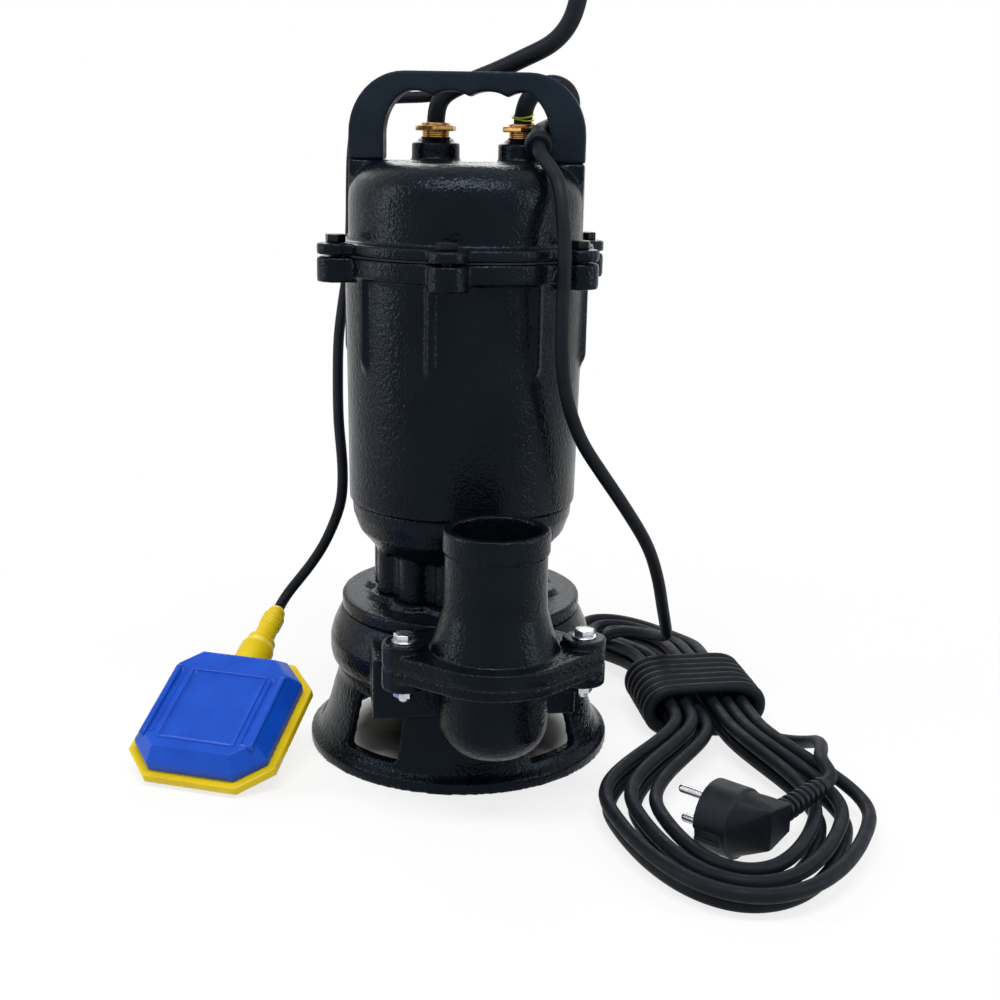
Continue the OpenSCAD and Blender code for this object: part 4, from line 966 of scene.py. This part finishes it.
@dataclass
class SupplyCable:
    """Supply cable: sleeve, lead, bound hank, tail and plug, on one unbroken cord.

    Routes and profiles are in millimetres.
    """

    hank: Hank = field(default_factory=Hank)
    plug: Plug = field(default_factory=Plug)
    diameter: float = 7.7
    sleeve: float = 10.6
    sleeve_route: tuple[Point, ...] = (
        (29.5, 22, 347), (29.5, 22, 374), (33, 23, 384), (42, 25, 391), (52, 28, 390),
        (57.5, 30, 382), (55.5, 25.5, 373.5), (48, 17, 367), (41.6, 9, 364.5), (40.4, 0, 362.5),
        (40.8, -8, 359.5), (42, -19, 355.5))
    lead_route: tuple[Point, ...] = (
        (42.8, -26.4, 352.8), (48, -35, 347.5), (55, -44.5, 338), (58, -52, 322), (60, -57, 303),
        (60, -58.5, 284), (60, -58, 264), (60.5, -56.5, 244), (63.5, -52, 222), (71.5, -44, 198),
        (83, -34, 178), (97.5, -20, 154), (112, -1, 126), (119.5, 15, 101), (124, 31, 76),
        (127, 48, 58), (128, 66, 47), (125, 82, 40), (117, 96, 36), (106, 108, 33),
        (92, 118.5, 27.5))
    tail_route: tuple[Point, ...] = (
        (193, 4, 5.5), (203, -8, 9), (211, -24, 16), (215, -42, 24.5), (215, -60, 28.5),
        (212, -75, 29))
    bridge_bow: Point = (6.5, -4.5, 0.5)  # how far the cable bows out to the first wrap
    end_turns: float = 0.03  # stretch of the hank that gives the direction at its ends
    collar_profile: tuple[tuple[float, float], ...] = (
        (5.4, 0.0), (7.0, 0.0), (7.6, 2.0), (7.6, 7.5), (6.6, 9.0), (5.4, 9.0))
    collar_round: float = 0.8

    def line(self) -> list[Vector]:
        """Centreline of the whole cable, in metres."""
        loops = self.hank.line()
        wraps = Wraps(self.hank).line()
        first, last = loops[0], loops[-1]
        run_in = first - self.diameter * (self.hank.point(self.end_turns) - first).normalized()
        lead = smooth_route([*self.sleeve_route[1:], *self.lead_route, run_in, first])
        before = self.hank.point(self.hank.turns - self.end_turns)
        away = last + self.diameter * (last - before).normalized()
        bridge = smooth_route([last, away, away + Vector(self.bridge_bow), wraps[0]])
        tip = self.plug.relief_tip
        way = (tip - self.plug.relief_foot).normalized()
        out = wraps[-1] + self.diameter * (wraps[-1] - wraps[-2]).normalized()
        tail = smooth_route([wraps[-1], out, *self.tail_route, tip + self.diameter * way, tip])
        return [*lead, *[p * MM for p in loops[1:]], *bridge[1:-1], *[p * MM for p in wraps],
                *tail[1:]]

    def collar(self) -> Piece:
        """Rubber collar on the sleeve's end."""
        end, back = (Vector(self.sleeve_route[i]) * MM for i in (-1, -2))
        way = (end - back).normalized()
        profile = rounded(self.collar_profile, self.collar_round)
        length = self.collar_profile[-1][1] * MM
        bm = ring_along(end - way * length, end, [(r * MM, z * MM) for r, z in profile])
        piece = finished("cable_collar", bm, Finish.BLACK_RUBBER, 50.0)
        return settle(piece, Finish.BLACK_RUBBER, Body.PUMP, "sleeve_collar")

    def build(self) -> None:
        sleeve_line = relaxed(smooth_route(self.sleeve_route))
        sleeve = cable("supply_cable_sleeve", sleeve_line, self.sleeve * MM, Finish.BLACK_RUBBER)
        settle(sleeve, Finish.BLACK_RUBBER, Body.PUMP, "supply_sleeve")
        route = relaxed(self.line())
        cord = cable("supply_cable", route, self.diameter * MM, Finish.BLACK_RUBBER)
        settle(cord, Finish.BLACK_RUBBER, Body.PUMP, "supply_lead", "supply_hank",
               "supply_wraps", "supply_tail")
        pieces = [sleeve, self.collar(), WireTie().build(), *self.plug.build()]
        route_length(route)


# ---- Pump ------------------------------------------------------------


@dataclass
class Castings:
    """Painted castings of the pump."""

    voxels: dict[str, float] = field(default_factory=lambda: {
        "strainer_base": 0.0012, "volute_casing": 0.0011, "volute_lid": 0.0012,
        "lower_bracket": 0.0012, "motor_housing": 0.0014, "top_cover": 0.0013,
        "discharge_spout": 0.0009})

    def build(self) -> None:
        """Make every casting."""
        for node, voxel in self.voxels.items():
            casting(node, Finish.BLACK_PAINT, Body.PUMP, voxel)
        casting("handle", Finish.MATTE_BLACK_PAINT, Body.PUMP, 0.0009, 6)


@dataclass
class Hardware:
    """Bolts, nuts, glands and gaskets that show."""

    outlet_turn: float = 13.0
    outlet: tuple[float, float] = (7.9, -104.0)
    pitch: float = 98.0
    outlet_seat: float = 98.0
    # Side of each outlet bolt, and the angle that its head was left at.
    outlet_heads: tuple[tuple[int, float], ...] = ((-1, 17.0), (1, 41.0))
    outlet_shank: tuple[float, float] = (2.9, 34.3)  # radius and length
    outlet_washer: float = 6.6
    lug_radius: float = 78.0
    lug_seat: float = 302.5
    lug_count: int = 6
    lug_head_turn: float = 23.0
    lug_shank: tuple[float, float] = (2.9, 16.0)
    glands: tuple[Point, ...] = ((-21.0, 22.0, 360.0), (29.5, 22.0, 360.0))
    gland_bore: float = 5.6
    gland_nut: tuple[float, float, float] = (22.0, 3.0, 0.6)  # across flats, height, chamfer
    gland_nut_foot: float = 3.4
    threads: int = 3

    def bolt_heads(self, name: str, places: Iterable[Matrix], finish: Finish, node: str,
                   shank: tuple[float, float], across: float = 10.0, height: float = 4.5,
                   washer: float = 0.0) -> None:
        """Hexagon bolts with a chamfered head, a shank and perhaps a washer.

        Args:
            name: the piece's name.
            places: matrix of each head's seat.
            finish: the bolts' finish.
            node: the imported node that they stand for.
            shank: the shank's radius and length, in millimetres.
            across: width across the head's flats.
            height: the head's height.
            washer: radius of the washer's rim, or 0 for none.
        """
        parts = []
        for place in places:
            parts.append(placed(hexagon(across * MM, height * MM, 0.5 * MM), place))
            r, length, step = shank[0] * MM, shank[1] * MM, 0.001
            stem = [(0, step), (r, step), (r, step - length), (r - step, -length), (0, -length)]
            parts.append(placed(spun(stem, 24), place))
            if washer:
                ring = rounded([(0.0, 0.0), (washer * MM, 0.0), (washer * MM, 0.0009),
                                (0.0, 0.0009)], 0.0003)
                parts.append(placed(spun(ring, 32), place))
        settle(finished(name, joined(parts), finish, CREASE), finish, Body.PUMP, node)

    def outlet_frame(self) -> Matrix:
        """Frame of the outlet's flange bolts."""
        return turned(self.outlet_turn) @ Matrix.Translation(Vector((*self.outlet, 0)) * MM)

    def gland_nuts(self) -> None:
        """Brass gland nuts: threaded foot, hexagon and turned collar."""
        profile = [(self.gland_bore, 0.0), (7.9, 0.0)]
        for i in range(self.threads):
            profile += [(7.9, 0.4 + i), (7.3, 0.7 + i), (7.9, 1.0 + i)]
        profile += [(8.0, 3.6), (9.6, 3.6), (9.6, 6.6), (8.4, 6.9), (8.4, 7.7), (8.0, 8.0),
                    (6.2, 8.0), (self.gland_bore, 7.5)]
        parts = []
        for gland in self.glands:
            place = Matrix.Translation(Vector(gland) * MM)
            parts.append(placed(spun([(r * MM, h * MM) for r, h in profile], 48), place))
            nut = placed(hexagon(*(v * MM for v in self.gland_nut)),
                         Matrix.Translation((0, 0, self.gland_nut_foot * MM)))
            inner = [v for v in nut.verts if Vector(v.co.xy).length < 0.0001]
            bmesh.ops.delete(nut, geom=inner, context="VERTS")
            parts.append(placed(nut, place))
        settle(finished("brass_glands", joined(parts), Finish.BRASS, CREASE), Finish.BRASS,
               Body.PUMP, "gland_nuts")

    def build(self) -> None:
        """Make the fasteners and glands."""
        frame = self.outlet_frame()
        seats = [frame @ Matrix.Translation(Vector((s * self.pitch / 2, 0, self.outlet_seat)) * MM)
                 @ turned(t) for s, t in self.outlet_heads]
        self.bolt_heads("outlet_bolts", seats, Finish.ZINC, "discharge_bolts",
                        self.outlet_shank, washer=self.outlet_washer)
        lugs = [turned(360 / self.lug_count * i - 90)
                @ Matrix.Translation(Vector((self.lug_radius, 0, self.lug_seat)) * MM)
                @ turned(self.lug_head_turn * i) for i in range(self.lug_count)]
        self.bolt_heads("lug_bolts", lugs, Finish.BLACK_STEEL, "cover_bolts", self.lug_shank)
        self.gland_nuts()
        softened("discharge_nuts", Finish.ZINC, Body.PUMP, 0.0004)
        softened("handle_screws", Finish.ZINC, Body.PUMP, 0.0003)
        softened("casing_screws", Finish.BLACK_STEEL, Body.PUMP, 0.0003)
        for node in ("cover_gasket", "discharge_gasket"):
            dressed(node, Finish.GASKET_RUBBER)
        dressed("gland_seals", Finish.BLACK_RUBBER)


@dataclass
class Inside:
    """Motor, bearings, seal and impeller."""

    finishes: dict[str, Finish] = field(default_factory=lambda: {
        "suction_plate": Finish.CAST_IRON, "stator_core": Finish.LAMINATION,
        "stator_windings": Finish.COPPER, "upper_bearing_bracket": Finish.ALUMINIUM,
        "capacitor": Finish.CAPACITOR_PLASTIC, "terminal_block": Finish.TERMINAL_PLASTIC,
        "bearing_outer_rings": Finish.BEARING_STEEL, "bearing_balls": Finish.BEARING_STEEL,
        "bearing_inner_rings": Finish.BEARING_STEEL, "seal_seat": Finish.CERAMIC,
        "seal_face": Finish.BLACK_PLASTIC, "seal_spring": Finish.STEEL, "shaft": Finish.STEEL,
        "rotor_core": Finish.LAMINATION, "rotor_end_rings": Finish.ALUMINIUM,
        "impeller": Finish.CAST_IRON, "impeller_nut": Finish.ZINC,
        "float_switch": Finish.TERMINAL_PLASTIC, "float_ball": Finish.BEARING_STEEL})

    def build(self) -> None:
        """Give the enclosed pieces their finishes."""
        for node, finish in self.finishes.items():
            dressed(node, finish)


@dataclass(frozen=True)
class Bar:
    """Rounded bar sunk into the blue shell, in the float's frame and in millimetres."""

    place: tuple[float, float]
    depth: float
    size: Point
    soft: float


@dataclass
class FloatSwitch:
    """Float: blue upper shell with its ridges, yellow rim and lower shell, and neck."""

    pivot: Point = (-118.4, 10.1, 66.7)
    yaw: float = -9.8
    tilt: float = 26.3
    reach: float = 87.5
    top: float = 14.8
    # Long ridges at both sides, then the four sides of the sill round the panel.
    bars: tuple[Bar, ...] = (
        *(Bar((x, -3.0), 0.8, (4.2, 54.0, 4.4), 1.4) for x in (-33.2, 33.2)),
        *(Bar((x, -4.0), 0.7, (1.5, 52.5, 2.6), 0.7) for x in (-23.4, 23.4)),
        *(Bar((0.0, y), 0.7, (48.0, 1.5, 2.6), 0.7) for y in (-30.0, 22.0)))

    def frame(self) -> Matrix:
        """Frame of the float: X across it, Y towards its neck, Z out of the blue shell."""
        return (Matrix.Translation(Vector(self.pivot) * MM) @ turned(self.yaw)
                @ turned(self.tilt, "X") @ Matrix.Translation((0, -self.reach * MM, 0)))

    def ridge(self, bar: Bar) -> Shape:
        """One bar's shape, in place on the shell."""
        bm = bmesh.new()
        bmesh.ops.create_cube(bm, size=1.0)
        bmesh.ops.scale(bm, verts=bm.verts, vec=Vector(bar.size) * MM)
        bmesh.ops.bevel(bm, geom=bm.edges[:], offset=bar.soft * MM, segments=4, profile=0.5,
                        affect="EDGES", material=-1)
        bmesh.ops.translate(bm, verts=bm.verts,
                            vec=Vector((*bar.place, self.top - bar.depth)) * MM)
        return placed(bm, self.frame())

    def ridges(self) -> None:
        """Every ridge of the blue shell, as one piece."""
        piece = finished("float_ridges", joined(map(self.ridge, self.bars)), Finish.FLOAT_BLUE)
        settle(piece, Finish.FLOAT_BLUE, Body.FLOAT)

    def build(self) -> None:
        """Make the shells, the ridges and the neck."""
        casting("float_shell_upper", Finish.FLOAT_BLUE, Body.FLOAT, 0.0007, 4)
        casting("float_shell_lower", Finish.FLOAT_YELLOW, Body.FLOAT, 0.0007, 3)
        casting("float_neck", Finish.FLOAT_YELLOW, Body.FLOAT, 0.0004, 2)
        self.ridges()


def main() -> None:
    """Build the pump and its studio."""
    logging.basicConfig(level=logging.INFO, format="%(name)s: %(message)s")
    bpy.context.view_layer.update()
    builders: list[Callable[[], None]] = [
        Studio().build, FloatCable().build, SupplyCable().build, Castings().build,
        Hardware().build, Inside().build, FloatSwitch().build]
    for build in builders:
        build()


if __name__ == "__main__":
    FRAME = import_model()
    main()
